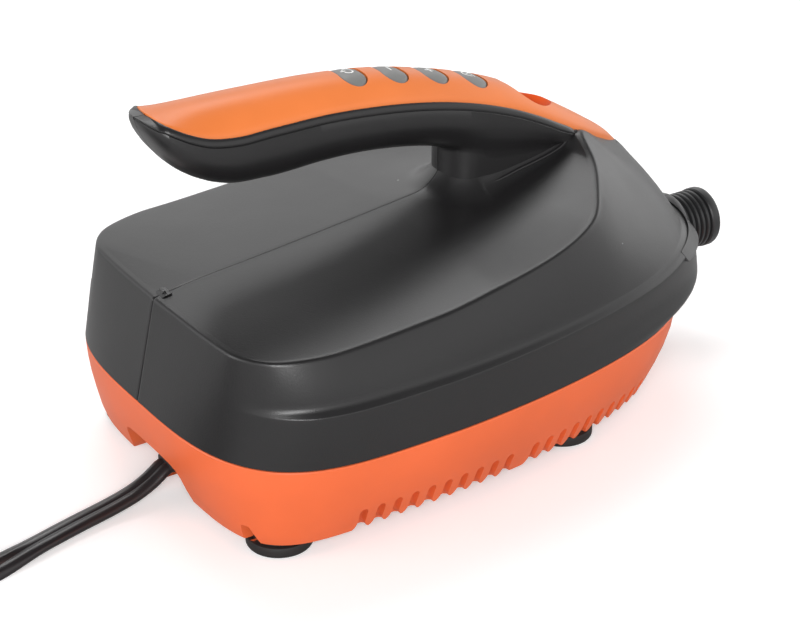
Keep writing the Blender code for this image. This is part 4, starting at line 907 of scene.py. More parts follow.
class PUMP_OT_housing(bpy.types.Operator):
    """Both black halves of the upper shell, with the handle, its neck and the spout's collar"""

    bl_idname = "pump.housing"
    bl_label = "Upper shell"

    def execute(self, context):
        pick = settings()
        gap = pick.parting_gap
        for side, node in ((-1, "housing_right"), (1, "housing_left")):
            body = shell_sheet(node + "_shell", pick.crease, gap)
            edit(body)
            bpy.ops.mesh.remove_doubles(threshold=WELD)
            bpy.ops.mesh.normals_make_consistent(inside=False)
            leave_edit()
            top = max(body.data.polygons, key=lambda face: face.center.z - abs(face.center.y))
            if top.normal.z < 0:
                flip(body)
            apply_modifier(body, "SOLIDIFY", thickness=pick.wall, offset=-1.0, use_rim=True)
            half = join(node + "_shell", body, neck_bead(node + "_bead", body),
                        handle_sheet(node + "_handle", gap), spout_boss(node + "_boss", gap))
            if side > 0:
                mirrored(half)
            finish_piece(half, paints()["shell"], "pump", node, slot="black")
        return {"FINISHED"}


# ---------------------------------------------------------------- handle cover and controls


def button_centres():
    centres = []
    for name in BUTTON_NAMES:
        low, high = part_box("button_" + name)
        centres.append((low.x + high.x) / 2)
    return centres


def cover_section(share):
    x, half, _, edge, crown, _ = handle_at(share)
    y = max(half - 0.25 * MM, 0.2 * MM)
    round_off = min(0.45 * MM, 0.3 * y)
    points = [(-y, edge - 1.8 * MM), (-y, edge - 0.75 * MM), (-y, edge - 0.45 * MM)]
    inner = y - round_off
    for part in np.linspace(-1, 1, 41):
        at = inner * part
        height = crown - (crown - edge) * (abs(at) / half) ** crown_power(x)
        points.append((at, height - (0.12 * MM if abs(part) == 1 else 0)))
    points += [(y, edge - 0.45 * MM), (y, edge - 0.75 * MM), (y, edge - 1.8 * MM)]
    return [(x, across, height) for across, height in points]


def oval_cutter(name, x, y, half_x, half_y, low, high, sides=56, flatten=1.0):
    """An upright slot-shaped cutter with full round ends, longer along Y, or an oval when flattened."""
    deselect()
    bpy.ops.mesh.primitive_cylinder_add(vertices=sides, radius=1, depth=1)
    cutter = named(name)
    straight = max(half_y - half_x, 0)
    for vert in cutter.data.vertices:
        up = vert.co.z > 0
        side = 1 if vert.co.y > 1e-6 else -1 if vert.co.y < -1e-6 else 0
        across = y + vert.co.y * half_x * flatten + side * straight
        vert.co = (x + vert.co.x * half_x, across, high if up else low)
    return cutter


class PUMP_OT_handle_cover(bpy.types.Operator):
    """The orange cover of the handle, with its button slots and the display's scoop"""

    bl_idname = "pump.handle_cover"
    bl_label = "Handle cover"

    def execute(self, context):
        shares = np.unique(np.concatenate([
            np.linspace(COVER_START, COVER_END, 190), np.linspace(COVER_START, 0.05, 24)]))
        cover = shaped_grid("handle_cover_skin", [cover_section(share) for share in shares])
        edit(cover)
        bpy.ops.mesh.normals_make_consistent(inside=False)
        leave_edit()
        middle = min(cover.data.polygons, key=lambda face: abs(face.center.y) + abs(face.center.x))
        if middle.normal.z < 0:
            flip(cover)
        apply_modifier(cover, "SOLIDIFY", thickness=1.6 * MM, offset=-1.0, use_rim=True)
        low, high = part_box("button_power")
        half_x, half_y = (high.x - low.x) / 2, (high.y - low.y) / 2
        for number, x in enumerate(button_centres()):
            top = crown_height(x)
            carve(cover, oval_cutter(f"slot_{number}", x, 0, half_x + 0.3 * MM, half_y + 0.3 * MM,
                                     top - 12 * MM, top + 8 * MM))
        lens_low, lens_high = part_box("display_lens")
        x = (lens_low.x + lens_high.x) / 2
        top = crown_height(x)
        tilt = math.atan2(crown_height(x - 6 * MM) - crown_height(x + 6 * MM), 12 * MM)
        carve(cover, oval_cutter("window", x, 0, WINDOW_ALONG, WINDOW_ALONG, top - 20 * MM, top + 10 * MM,
                                 flatten=WINDOW_ACROSS / WINDOW_ALONG))
        finish_piece(cover, paints()["cover"], "pump", "handle_cover", slot="orange_cover")
        # The scoop gets its own darker orange, painted shade for the depth of the hollow.
        well_painted_shade = self.display_well(x, top, tilt)
        finish_piece(well_painted_shade, paints()["well_painted_shade"], "pump", slot="orange_cover")
        return {"FINISHED"}

    def display_well(self, x, top, tilt):
        """The scoop that the display sits in: steep behind, running out softly in front."""
        depths = (0.05, 0.25, 0.7, 1.5, 2.6, 4.0, 5.4, 6.3, 6.7)
        turn = Matrix.Rotation(tilt, 4, "Y")
        places = []
        for angle in np.linspace(0, math.tau, 73):
            slope = 0.10 + 0.42 * max(math.cos(angle), 0) ** 1.5
            rings = [(1 - slope * depth / 6.7 - (0.012 if depth > 0.2 else 0), depth) for depth in depths]
            rings += [(0.45, 6.8), (0.1, 6.8), (0.1, 7.8), (0.9, 7.8), (1.02, 6.0), (1.025, 1.6), (1.0, 1.2)]
            rings.append(rings[0])
            row = []
            for scale, depth in rings:
                local = Vector(((WINDOW_ALONG - 0.04 * MM) / math.cos(tilt) * scale * math.cos(angle),
                                (WINDOW_ACROSS - 0.04 * MM) * scale * math.sin(angle), 0))
                at = turn @ local
                surface = crown_height(x + at.x, at.y)
                flat = top + at.z - depth * MM
                near_rim = 1 - ease(depth, 1.0, 5.0)
                row.append((x + at.x, at.y, flat + (surface - depth * MM - flat) * near_rim))
            places.append(row)
        return close_up(shaped_grid("display_well", places), WELD)


def button_places(x, half_x, half_y, bottom):
    """A press button: domed top that follows the cover, rounded edge, straight side and flat foot."""
    straight = half_y - half_x
    outline = []
    for angle in np.linspace(0, math.tau, 73):
        side = straight * math.tanh(8 * math.sin(angle))
        outline.append((half_x * math.cos(angle), side + half_x * math.sin(angle)))
    rings = [(part, 0.0) for part in (0.02, 0.2, 0.4, 0.6, 0.75, 0.86, 0.93)]
    rings += [(0.965, 0.08), (0.988, 0.22), (1.0, 0.5), (1.0, 1.4)]
    places = []
    for across, along in outline:
        row = []
        for part, drop in rings:
            dome = BUTTON_DOME * (1 - part**2) - BUTTON_SINK
            height = crown_height(x + across * part, along * part) + dome - drop * MM
            row.append((x + across * part, along * part, height))
        row.append((x + across, along, bottom))
        row.append((x + across * 0.02, along * 0.02, bottom))
        places.append(row)
    return places


def button_top(x, across, along, half_x, half_y):
    part = min(math.hypot(across / half_x, along / half_y), 1)
    return crown_height(x + across, along) + BUTTON_DOME * (1 - part**2) - BUTTON_SINK


def draped(obj, x, half_x, half_y, lift=0.05 * MM):
    """Lay a flat mark, drawn round the origin, on a button's top."""
    for vert in obj.data.vertices:
        across, along, height = vert.co
        vert.co = (x + across, along, button_top(x, across, along, half_x, half_y) + lift + height * 0.1)
    obj.data.update()
    return obj


def ring_mark(name, radius, thickness, start, end, steps=40):
    places = []
    for angle in np.linspace(start, end, steps):
        row = []
        for turn in np.linspace(0, math.tau, 9):
            reach = radius + thickness / 2 * math.cos(turn)
            row.append((reach * math.cos(angle), reach * math.sin(angle), thickness / 2 * math.sin(turn)))
        places.append(row)
    return close_up(shaped_grid(name, places), FINE_WELD)


def bar_mark(name, x, y, length, width, angle=0.0):
    deselect()
    bpy.ops.mesh.primitive_cube_add(size=1)
    bar = named(name)
    edit(bar, "EDGE")
    bpy.ops.transform.resize(value=(length, width, 0.25 * MM))
    bpy.ops.mesh.subdivide(number_cuts=4)
    leave_edit()
    return place(bar, Matrix.Translation((x, y, 0)) @ Matrix.Rotation(angle, 4, "Z"))


def button_marks(name):
    """Pieces of one button's white symbol, drawn flat round the origin."""
    quarter = math.pi / 2
    thin = 0.55 * MM
    if name == "power":
        return [ring_mark("mark_ring", 1.7 * MM, thin, -math.pi + 0.55, math.pi - 0.55),
                bar_mark("mark_stroke", -1.6 * MM, 0, 1.8 * MM, thin)]
    if name == "minus":
        return [bar_mark("mark_minus", 0, 0, thin * 1.2, 3.2 * MM)]
    if name == "plus":
        return [bar_mark("mark_plus_across", 0, 0, thin * 1.2, 3.2 * MM),
                bar_mark("mark_plus_along", 0, 0, 3.2 * MM, thin * 1.2)]
    return [ring_mark("mark_dial", 2.1 * MM, thin, quarter - 0.1, 3 * quarter + 0.1),
            bar_mark("mark_needle", 0.1 * MM, 0.5 * MM, 2.6 * MM, thin, 0.6),
            bar_mark("mark_base", 1.2 * MM, 0, thin, 4.2 * MM)]


class PUMP_OT_buttons(bpy.types.Operator):
    """The four press buttons with their white symbols"""

    bl_idname = "pump.buttons"
    bl_label = "Buttons"

    def execute(self, context):
        for name, x in zip(BUTTON_NAMES, button_centres()):
            low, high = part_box("button_" + name)
            half_x, half_y = (high.x - low.x) / 2, (high.y - low.y) / 2
            # The foot stays clear of the handle's seat when the button is pressed.
            seat = max(handle_at((x + side * half_x - HANDLE_START) / HANDLE_LENGTH)[3] for side in (-1, 1))
            foot = max(low.z, seat + 0.15 * MM)
            places = button_places(x, half_x, half_y, foot)
            button = close_up(shaped_grid(name + "_button", places), WELD)
            finish_piece(button, paints()["button"], name + "_button", "button_" + name, slot="button")
            marks = [draped(mark, x, half_x, half_y) for mark in button_marks(name)]
            symbol = join(name + "_symbol", *marks)
            finish_piece(symbol, paints()["symbol"], name + "_button")
        return {"FINISHED"}


# ---------------------------------------------------------------- tray and feet


def tray_wall(shares, inset=0.0):
    """Rows of the tray's side, from the seam down to the floor, squarer at the rear lower down."""
    rows = []
    seam = SEAM - 0.35 * MM
    for height, draft, squareness in (
            (seam, 0.3, 1.0), (seam - 0.4 * MM, 0.0, 1.0), (SEAM - 6 * MM, 0.7, 1.03),
            (SEAM - 12 * MM, 2.2, 1.1), (SEAM - 18 * MM, 4.2, 1.2), (TRAY_BOTTOM + 4.0 * MM, 6.9, 1.4),
            (TRAY_BOTTOM + 0.6 * MM, 8.5, 1.5),
            (TRAY_BOTTOM - 0.2 * MM, 8.8, 1.5), (TRAY_BOTTOM - 0.6 * MM, 9.4, 1.5)):
        inward = draft * MM + inset
        plan = half_outline(shares, SEAM_TIP - inward, REAR + inward * 0.85, HALF - inward,
                            squareness=squareness)
        rows.append(np.column_stack([plan, np.full(len(plan), height)]))
    return np.array(rows)


def all_round(rows):
    """Rows of the right-hand side carried on round the left, as columns."""
    left = rows[:, ::-1] * np.array((1, -1, 1))
    return np.concatenate([rows, left[:, 1:]], axis=1).transpose(1, 0, 2)


def flute_cutter(name, here, heading):
    """A narrow upright flute: round on top, flared at the foot so that the ribs end in round lobes."""
    reach, top = 1.45, 12.1
    outline = [(reach * math.cos(angle), top + reach * math.sin(angle)) for angle in np.linspace(0, math.pi, 9)]
    foot = [(reach, 8.2), (1.5, 7.2), (1.7, 6.3), (2.1, 5.5), (2.7, 4.9), (3.02, 4.7), (3.02, 1.0)]
    outline = [(-u, v) for u, v in foot[::-1]] + [(-u, v) for u, v in outline] + foot
    rows = []
    for across, shrink in ((-6.0, 0.0), (-6.0, 1.0), (2.2, 1.0), (2.9, 0.7), (2.9, 0.0)):
        row = []
        for u, v in outline:
            height = 8 + (v - 8) * (shrink if shrink in (0, 1) else 0.92)
            lean = 1.9 - 0.36 * (height - 5)
            row.append((u * shrink * MM, (across + lean) * MM, height * MM))
        row.append(row[0])
        rows.append(row)
    cutter = close_up(shaped_grid(name, rows), WELD)
    return place(cutter, Matrix.Translation((here[0], here[1], 0)) @ Matrix.Rotation(heading, 4, "Z"))


class PUMP_OT_base_tray(bpy.types.Operator):
    """The orange tray with its rows of flutes, the cord's notch and two small corner notches"""

    bl_idname = "pump.base_tray"
    bl_label = "Lower tray"

    def execute(self, context):
        rows = tray_wall(np.linspace(0, 1, 261))
        tray = close_up(shaped_grid("tray_body", all_round(rows)), WELD)
        for piece in self.cutters():
            carve(tray, piece)
        finish_piece(tray, paints()["tray"], "pump", "base_tray", slot="orange", degrees=28)
        return {"FINISHED"}

    def cutters(self):
        """Room inside, notches and flutes."""
        rows = tray_wall(np.linspace(0, 1, 81), 4.4 * MM)
        rows[:, :, 2] = np.linspace(SEAM + 4 * MM, TRAY_BOTTOM + 2.4 * MM, len(rows))[:, None]
        cutters = [close_up(shaped_grid("tray_room", all_round(rows)), WELD)]
        return cutters + self.notches() + self.flutes()

    def notches(self):
        """The arch that the cord leaves by, and two small notches beside it."""
        half = [(20.8, -1), (20.8, 3.6), (20.3, 4.6), (19.3, 6.5), (18.6, 9.5), (17.8, 13.2), (16.2, 15.4),
                (13.0, 16.4), (8.0, 16.8)]
        arch = [(-y, z) for y, z in half] + half[::-1]
        cutters = [self.notch("cord_arch", arch, 0.0, 17 * MM)]
        for side in (-1, 1):
            small = [(-3.6, -1), (-3.0, 5.5), (-1.9, 9.6), (-1.3, 10.8), (1.0, 10.8), (1.4, 10.2),
                     (2.2, 5.5), (3.0, -1)]
            small = [(y * -side, z) for y, z in small]
            cutters.append(self.notch(f"side_notch_{side}", small, side * (HALF - 21.5 * MM), 17 * MM))
        return cutters

    def notch(self, name, outline, middle, depth):
        outside, inside = REAR - 5 * MM, REAR + depth
        rows = [[(outside, middle, 5 * MM)] * len(outline)]
        rows += [[(x, middle + y * MM, z * MM) for y, z in outline] for x in (outside, inside)]
        rows.append([(inside, middle, 5 * MM)] * len(outline))
        return close_up(shaped_grid(name, rows), WELD)

    def flutes(self):
        shares = np.linspace(0, 1, 2001)
        mid_draft = TRAY_DRAFT * 0.8
        plan = half_outline(shares, SEAM_TIP - mid_draft, REAR + mid_draft * 0.85, HALF - mid_draft)
        run = np.concatenate([[0], np.cumsum(np.hypot(*np.diff(plan, axis=0).T))])
        start = float(np.interp(-(REAR + 42.5 * MM), -plan[:, 0], run))
        cutters = []
        pitch = 6.2 * MM
        for number in range(20):
            at = start - number * pitch - (number // 10) * 5 * MM
            here = [float(np.interp(at, run, plan[:, k])) for k in (0, 1)]
            ahead = [float(np.interp(at - 1 * MM, run, plan[:, k])) for k in (0, 1)]
            heading = math.atan2(ahead[1] - here[1], ahead[0] - here[0])
            right = flute_cutter(f"flute_{number}", here, heading)
            left = right.copy()
            left.data = right.data.copy()
            bpy.context.collection.objects.link(left)
            cutters += [right, mirrored(left)]
        return cutters


class PUMP_OT_feet(bpy.types.Operator):
    """Four round rubber feet"""

    bl_idname = "pump.feet"
    bl_label = "Feet"

    def execute(self, context):
        for place_name in ("rear_left", "rear_right", "front_left", "front_right"):
            node = "foot_" + place_name
            low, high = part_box(node)
            centre = ((low.x + high.x) / 2, (low.y + high.y) / 2, 0)
            r = (high.x - low.x) / 2
            top = high.z
            profile = [(3.6 * MM, 0.9 * MM), (4.4 * MM, 0.1 * MM), (r - 4.0 * MM, 0.02 * MM),
                       (r - 3.6 * MM, 0.35 * MM), (r - 3.2 * MM, 0.35 * MM), (r - 2.8 * MM, 0.02 * MM),
                       (r - 1.2 * MM, 0.02 * MM),
                       (r - 0.35 * MM, 0.2 * MM), (r - 0.05 * MM, 0.7 * MM), (r, 1.2 * MM), (r, 3.0 * MM),
                       (r - 0.2 * MM, 3.5 * MM), (r - 0.8 * MM, 3.7 * MM), (r - 1.6 * MM, 3.75 * MM),
                       (r - 1.8 * MM, top), (1.8 * MM, top), (1.8 * MM, 3.4 * MM), (3.6 * MM, 3.4 * MM),
                       (3.6 * MM, 0.9 * MM)]
            foot = turned(place_name + "_foot", profile, centre)
            finish_piece(foot, paints()["rubber"], "pump", node, slot="rubber")
        return {"FINISHED"}


# ---------------------------------------------------------------- spout


class PUMP_OT_spout(bpy.types.Operator):
    """The ribbed air spout"""

    bl_idname = "pump.spout"
    bl_label = "Air spout"

    def execute(self, context):
        reach = SPOUT_HIGH.x - NOSE
        rib = (SPOUT_HIGH.y - SPOUT_LOW.y) / 2 - 0.2 * MM
        bore = 6.5 * MM
        root = rib - 1.5 * MM
        profile = [(bore, SPOUT_LOW.x - NOSE), (root, SPOUT_LOW.x - NOSE), (root, 2.3 * MM), (rib, 2.4 * MM)]
        pitch = 2.25 * MM
        at = 3.3 * MM
        profile.append((rib, at))
        for _ in range(4):
            profile += [(rib - 0.35 * MM, at + 0.2 * MM), (root, at + 0.4 * MM), (root, at + 0.85 * MM),
                        (rib - 0.35 * MM, at + 1.1 * MM), (rib, at + 1.4 * MM), (rib, at + pitch)]
            at += pitch
        end = rib + 0.3 * MM
        profile += [(rib - 0.4 * MM, at + 0.2 * MM), (root + 0.2 * MM, at + 0.45 * MM),
                    (root + 0.2 * MM, at + 0.9 * MM), (end - 0.4 * MM, at + 1.2 * MM), (end, at + 1.6 * MM),
                    (end, reach - 1.3 * MM), (end - 0.25 * MM, reach - 0.6 * MM),
                    (end - 0.9 * MM, reach - 0.1 * MM), (end - 1.4 * MM, reach),
                    (bore + 0.9 * MM, reach), (bore + 0.3 * MM, reach - 0.15 * MM), (bore, reach - 0.7 * MM),
                    (bore, SPOUT_LOW.x - NOSE)]
        spout = turned("air_spout", profile, (NOSE, 0, SPOUT_AXIS), "X", 96)
        finish_piece(spout, paints()["spout"], "pump", "nozzle", slot="nozzle", degrees=30)
        return {"FINISHED"}


# ---------------------------------------------------------------- cord and plug


def curve_through(points, spacing):
    """Evenly spaced points on a smooth curve through a route's own points."""
    points = np.array(points, float)
    padded = np.vstack([2 * points[0] - points[1], points, 2 * points[-1] - points[-2]])
    dense = []
    for k in range(1, len(padded) - 2):
        a, b, c, d = padded[k - 1:k + 3]
        for t in np.linspace(0, 1, 16, endpoint=False):
            dense.append(0.5 * (2 * b + (c - a) * t + (2 * a - 5 * b + 4 * c - d) * t**2
                                + (3 * b - a - 3 * c + d) * t**3))
    dense.append(points[-1])
    dense = np.array(dense)
    run = np.concatenate([[0], np.cumsum(np.linalg.norm(np.diff(dense, axis=0), axis=1))])
    at = np.linspace(0, run[-1], int(run[-1] / spacing) + 1)
    return np.column_stack([np.interp(at, run, dense[:, k]) for k in range(3)])


def coil_box():
    """The coil's centre and its outer radius."""
    low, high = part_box("cord_coil")
    return (low + high) / 2, (high.x - low.x) / 2


def cord_line():
    """The cord's centre line: along the floor, ten turns in two layers, and up into the plug."""
    centre, outer = coil_box()
    lying = np.array(CORD_ROUTE[:-2])
    for _ in range(2):
        lying[2:-1] = (lying[1:-2] + 2 * lying[2:-1] + lying[3:]) / 4
    lying = [(x, y, max(z - 0.9 * MM, CORD_THICKNESS / 2 + 0.1 * MM)) for x, y, z in lying]
    turns = 5
    pitch = 4.2 * MM
    first = outer - CORD_THICKNESS / 2 - 0.2 * MM
    inner = first - (turns - 1) * pitch
    start = math.radians(-49)
    low, high = CORD_WIDTH / 2 + 0.15 * MM, CORD_WIDTH * 1.5 + 0.5 * MM
    coil = []
    per_turn = 40
    last = math.radians(101)
    total = 2 * turns * math.tau + last
    for step in range(int(total / math.tau * per_turn) + 1):
        turned_by = step * math.tau / per_turn
        angle = start - turned_by
        if turned_by < turns * math.tau:
            radius = first - (first - inner) * turned_by / (turns * math.tau)
        else:
            radius = inner + (first - inner) * (turned_by - turns * math.tau) / (total - turns * math.tau)
        layer = ease(turned_by, (turns - 0.35) * math.tau, (turns + 0.35) * math.tau)
        coil.append((centre.x + radius * math.cos(angle), centre.y + radius * math.sin(angle),
                     low + (high - low) * layer))
    plug_low, plug_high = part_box("plug_body")
    x, y, z = plug_low.x, (plug_low.y + plug_high.y) / 2, (plug_low.z + plug_high.z) / 2
    away = [(x - 13.5 * MM, y - 20 * MM, high + 3 * MM), (x - 14.5 * MM, y - 12 * MM, high + 7.5 * MM),
            (x - 10.5 * MM, y - 4.0 * MM, z - 3.2 * MM), (x - 4 * MM, y - 0.6 * MM, z - 0.6 * MM),
            (x + 3 * MM, y, z)]
    return lying, coil, away


def twin_lead(name, line, rolls):
    """A flat twin lead along a line: two round cores side by side with a groove between them."""
    outline = []
    for angle in np.linspace(0, math.tau, 29):
        u, v = math.cos(angle), math.sin(angle)
        across = CORD_WIDTH / 2 * abs(u) ** 0.8 * (1 if u >= 0 else -1)
        waist = 0.62 + 0.38 * min(abs(across) / (CORD_WIDTH * 0.16), 1) ** 0.8
        outline.append((across, CORD_THICKNESS / 2 * v * waist))
    return close_up(shaped_grid(name, swept(line, outline, rolls)), FINE_WELD)


class PUMP_OT_supply_cord(bpy.types.Operator):
    """The flat supply cord with its coil, the tie round the coil and the gland"""

    bl_idname = "pump.supply_cord"
    bl_label = "Supply cord"

    def execute(self, context):
        lying, coil, away = cord_line()
        line = curve_through(lying + coil + away, 2.6 * MM)
        centre, outer = coil_box()
        rolls = []
        for x, y, _ in line:
            reach = math.hypot(x - centre.x, y - centre.y)
            rolls.append(math.pi / 2 * (1 - ease(reach, outer + 1 * MM, outer + 34 * MM)))
        cord = twin_lead("supply_lead", line, rolls)
        finish_piece(cord, paints()["cord"], "pump", "supply_cord", "cord_coil", slot="cord", degrees=50)
        tie = self.tie(centre, outer)
        finish_piece(tie, paints()["tie"], "pump", slot="rubber")
        gland = self.gland()
        finish_piece(gland, paints()["rubber"], "pump", "cord_gland", slot="rubber")
        return {"FINISHED"}

    def tie(self, centre, outer):
        """A soft strap round all the turns, at the coil's far side."""
        places = []
        wide, tall = 22.6 * MM, 17.8 * MM
        for across in (-5.0, -4.6, 4.6, 5.0):
            row = []
            thick = 0.55 * MM if abs(across) < 4.8 else 0.25 * MM
            for angle in np.linspace(0, math.tau, 49):
                u, v = math.cos(angle), math.sin(angle)
                y = (wide / 2 + thick) * abs(u) ** 0.35 * (1 if u >= 0 else -1)
                z = (tall / 2 + thick) * abs(v) ** 0.35 * (1 if v >= 0 else -1)
                row.append((across * MM, y, max(z, -tall / 2 + 0.4 * MM)))
            places.append(row)
        ring = shaped_grid("coil_tie", places)
        edit(ring)
        bpy.ops.mesh.remove_doubles(threshold=WELD)
        bpy.ops.mesh.normals_make_consistent(inside=False)
        leave_edit()
        return place(ring, Matrix.Translation((centre.x, centre.y + outer - 11 * MM, tall / 2 - 0.35 * MM)))

    def gland(self):
        """Tapered and ringed strain relief, flattened to the cord."""
        inner_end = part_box("cord_gland")[1].x
        x, y, z = CORD_ROUTE[0]
        places = []
        sections = (
            (inner_end - x, 4.2, 4.2), (5.6 * MM, 4.2, 4.2), (5.5 * MM, 5.2, 5.2), (4.2 * MM, 5.2, 5.2),
            (4.0 * MM, 4.3, 4.9), (2.2 * MM, 4.1, 4.9), (2.0 * MM, 3.5, 4.6), (1.3 * MM, 3.5, 4.6),
            (1.1 * MM, 3.9, 4.8), (-0.6 * MM, 3.7, 4.8), (-0.8 * MM, 3.1, 4.5), (-1.5 * MM, 3.1, 4.5),
            (-1.7 * MM, 3.5, 4.7), (-3.4 * MM, 3.2, 4.6), (-3.9 * MM, 2.6, 4.3), (-4.0 * MM, 1.9, 3.9),
        )
        for along, tall, wide in sections:
            row = []
            for angle in np.linspace(0, math.tau, 49):
                row.append((x + along, y + wide * MM * math.cos(angle), z + tall * MM * math.sin(angle)))
            places.append(row)
        return close_up(shaped_grid("strain_relief", places), WELD)


class PUMP_OT_plug(bpy.types.Operator):
    """The vehicle socket plug: grip, ringed cap and centre contact"""

    bl_idname = "pump.plug"
    bl_label = "Vehicle plug"

    def execute(self, context):
        low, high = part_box("plug_body")
        across, height = (low.y + high.y) / 2, (low.z + high.z) / 2
        grip = [(2.2, 0.0), (3.6, 0.3), (4.0, 1.6), (3.6, 1.9), (3.6, 2.8), (4.4, 3.1), (4.6, 4.6), (4.1, 4.9),
                (4.1, 5.8), (5.1, 6.1), (5.6, 8.0), (7.6, 10.2), (9.6, 12.6), (10.4, 14.4)]
        for ring in range(6):
            at = 15.6 + ring * 2.6
            grip += [(10.75, at), (10.75, at + 1.3), (10.3, at + 1.6), (10.3, at + 2.2)]
        grip += [(10.95, 31.8), (11.0, 35.6), (10.6, 37.2), (10.2, 37.8), (10.2, 60.6), (9.9, 61.6),
                 (9.4, 62.0), (2.0, 62.0)]
        knurl = [(2.0, 0.0), (9.4, 0.0), (9.6, 0.3), (9.6, 1.4), (9.2, 1.7), (9.2, 2.3), (9.5, 2.6), (9.4, 3.9),
                 (9.1, 4.2), (9.1, 4.8), (9.3, 5.1), (9.0, 7.2), (8.4, 8.2), (7.4, 8.5), (5.0, 8.5), (5.0, 5.4),
                 (2.0, 5.4)]
        contact = [(0.5, 0.0), (3.5, 0.0), (3.6, 0.3), (3.6, 4.2), (3.3, 4.9), (2.4, 6.6), (1.6, 7.5),
                   (0.5, 7.8)]
        for name, profile, node, paint, slot, sides, degrees in (
                ("plug_grip", grip, "plug_body", "grip", "black", 72, 30),
                ("plug_knurl", knurl, "plug_cap", "grip", "black", 72, 30),
                ("plug_contact", contact, "plug_tip", "steel", "steel", 48, 35)):
            start = (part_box(node)[0].x, across, height)
            piece = turned(name, [(radius * MM, at * MM) for radius, at in profile], start, "X", sides)
            finish_piece(piece, paints()[paint], "pump", node, slot=slot, degrees=degrees)
        return {"FINISHED"}


# ---------------------------------------------------------------- inner works


class PUMP_OT_inner_works(bpy.types.Operator):
    """Finishes for the working parts inside the shell"""

    bl_idname = "pump.inner_works"
    bl_label = "Inner works"

    def execute(self, context):
        slots = {row["node"]: row["material_slot"] for row in frame["record"]["subparts"]}
        finishes = {"black": "grip", "orange": "tray", "orange_cover": "cover", "nozzle": "spout"}
        for node, obj in frame["nodes"].items():
            if obj.hide_render:
                continue
            slot = slots[node]
            obj.data.materials.clear()
            obj.data.materials.append(paints()[finishes.get(slot, slot)])
        return {"FINISHED"}


# ---------------------------------------------------------------- stage


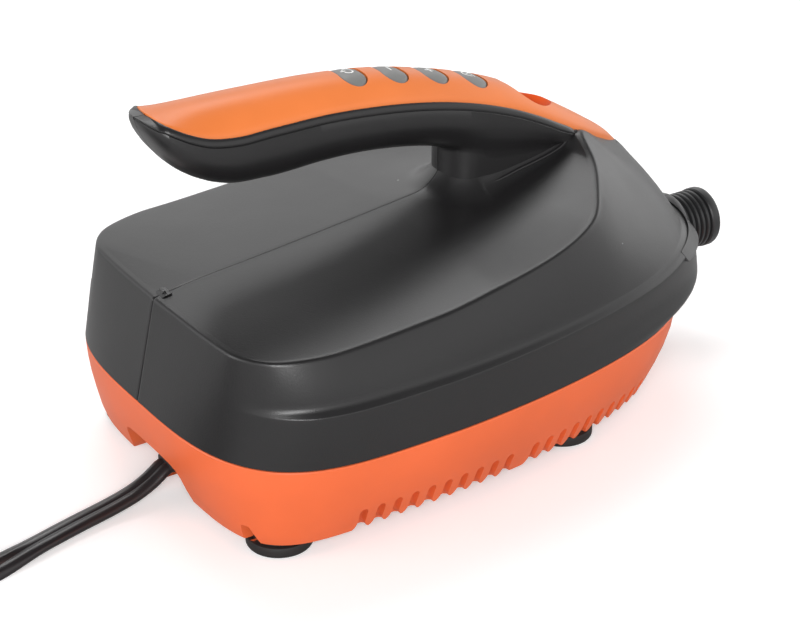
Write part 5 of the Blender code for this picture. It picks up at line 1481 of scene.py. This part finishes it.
class PUMP_OT_stage(bpy.types.Operator):
    """Pale floor, soft studio light and the camera"""

    bl_idname = "pump.stage"
    bl_label = "Stage"

    def execute(self, context):
        deselect()
        bpy.ops.mesh.primitive_plane_add(size=8)
        floor = named("floor")
        paint, tree, shader = new_material("pump_floor")
        coordinates = tree.nodes.new("ShaderNodeTexCoord").outputs["Object"]
        pale = tinted(tree, noise(tree, coordinates, 1.5, 2.0), (0.93, 0.93, 0.93), (0.95, 0.95, 0.95))
        # The studio's floor falls off into shade: what the pump mirrors is darker than what the camera sees.
        seen = tree.nodes.new("ShaderNodeMix")
        seen.data_type = "RGBA"
        seen.inputs["A"].default_value = (FLOOR_SHADE, FLOOR_SHADE, FLOOR_SHADE, 1)
        tree.links.new(pale, seen.inputs["B"])
        tree.links.new(tree.nodes.new("ShaderNodeLightPath").outputs["Is Camera Ray"], seen.inputs["Factor"])
        tree.links.new(seen.outputs["Result"], shader.inputs["Base Color"])
        shader.inputs["Emission Color"].default_value = (1, 1, 1, 1)
        glow = math_node(tree, "MULTIPLY", seen.inputs["Factor"].links[0].from_socket, FLOOR_GLOW)
        tree.links.new(glow, shader.inputs["Emission Strength"])
        shader.inputs["Roughness"].default_value = 0.9
        shader.inputs["Specular IOR Level"].default_value = 0.1
        floor.data.materials.append(paint)
        power = settings().key_light
        self.light("key", (-0.85, -1.15, 0.75), (0.0, 0.0, 0.03), 0.7, 0.5, power * 1.25)
        self.light("top", (0.35, 0.75, 1.25), (0.0, 0.0, 0.05), 1.0, 0.5, power * 0.6)
        self.light("behind", (-1.3, 0.45, 0.4), (-0.05, 0.0, 0.04), 0.5, 0.5, power * 0.22)
        self.light("front", (1.3, 0.1, 0.45), (0.05, 0.0, 0.06), 0.9, 0.6, power * 0.16)
        # A bright wall all round the studio, dark above it.
        world = bpy.data.worlds.new("studio")
        world.use_nodes = True
        tree = world.node_tree
        upward = tree.nodes.new("ShaderNodeSeparateXYZ")
        tree.links.new(tree.nodes.new("ShaderNodeTexCoord").outputs["Generated"], upward.inputs["Vector"])
        wall = tree.nodes.new("ShaderNodeMapRange")
        wall.interpolation_type = "SMOOTHSTEP"
        for label, value in (("From Min", 0.44), ("From Max", 0.66), ("To Min", 1.25), ("To Max", 0.12)):
            wall.inputs[label].default_value = value
        tree.links.new(upward.outputs["Z"], wall.inputs["Value"])
        background = tree.nodes["Background"]
        background.inputs["Color"].default_value = (1, 1, 1, 1)
        tree.links.new(wall.outputs["Result"], background.inputs["Strength"])
        context.scene.world = world
        context.scene.view_settings.view_transform = "Standard"
        self.camera()
        return {"FINISHED"}

    def light(self, name, place_at, target, width, height, power):
        data = bpy.data.lights.new(name, "AREA")
        data.shape = "RECTANGLE"
        data.size = width
        data.size_y = height
        data.energy = power
        lamp = bpy.data.objects.new(name, data)
        bpy.context.collection.objects.link(lamp)
        lamp.location = place_at
        lamp.rotation_euler = (Vector(target) - Vector(place_at)).to_track_quat("-Z", "Y").to_euler()

    def camera(self):
        """The view from behind the right-hand side, a little above."""
        data = bpy.data.cameras.new("camera")
        data.lens = VIEW_LENS
        data.sensor_width = 36
        data.shift_x, data.shift_y = VIEW_SHIFT
        data.clip_start = 0.01
        data.clip_end = 20
        camera = bpy.data.objects.new("camera", data)
        bpy.context.collection.objects.link(camera)
        target = Vector(VIEW_TARGET)
        azimuth, elevation = math.radians(VIEW_AZIMUTH), math.radians(VIEW_ELEVATION)
        back = Vector((math.sin(azimuth) * math.cos(elevation), -math.cos(azimuth) * math.cos(elevation),
                       math.sin(elevation)))
        camera.location = target + back * VIEW_DISTANCE
        camera.rotation_euler = (-back).to_track_quat("-Z", "Y").to_euler()
        bpy.context.scene.camera = camera


class PUMP_PT_panel(bpy.types.Panel):
    """Lists the pump's pieces in the sidebar"""

    bl_idname = "PUMP_PT_panel"
    bl_label = "Air pump"
    bl_space_type = "VIEW_3D"
    bl_region_type = "UI"
    bl_category = "Air pump"

    def draw(self, context):
        layout = self.layout
        pick = context.scene.air_pump
        for name in PumpSettings.__annotations__:
            layout.prop(pick, name)
        for operator in OPERATORS:
            layout.operator(operator.bl_idname)


OPERATORS = (
    PUMP_OT_stage, PUMP_OT_housing, PUMP_OT_handle_cover, PUMP_OT_buttons, PUMP_OT_base_tray, PUMP_OT_feet,
    PUMP_OT_spout, PUMP_OT_plug, PUMP_OT_supply_cord, PUMP_OT_inner_works,
)
CLASSES = (PumpSettings, *OPERATORS, PUMP_PT_panel)


def register():
    for made in CLASSES:
        bpy.utils.register_class(made)
    bpy.types.Scene.air_pump = bpy.props.PointerProperty(type=PumpSettings)


def unregister():
    del bpy.types.Scene.air_pump
    for made in reversed(CLASSES):
        bpy.utils.unregister_class(made)


def main():
    register()
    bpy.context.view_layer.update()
    bpy.ops.pump.stage()
    bpy.ops.pump.housing()
    bpy.ops.pump.handle_cover()
    bpy.ops.pump.buttons()
    bpy.ops.pump.base_tray()
    bpy.ops.pump.feet()
    bpy.ops.pump.spout()
    bpy.ops.pump.plug()
    bpy.ops.pump.supply_cord()
    bpy.ops.pump.inner_works()


if __name__ == "__main__":
    main()
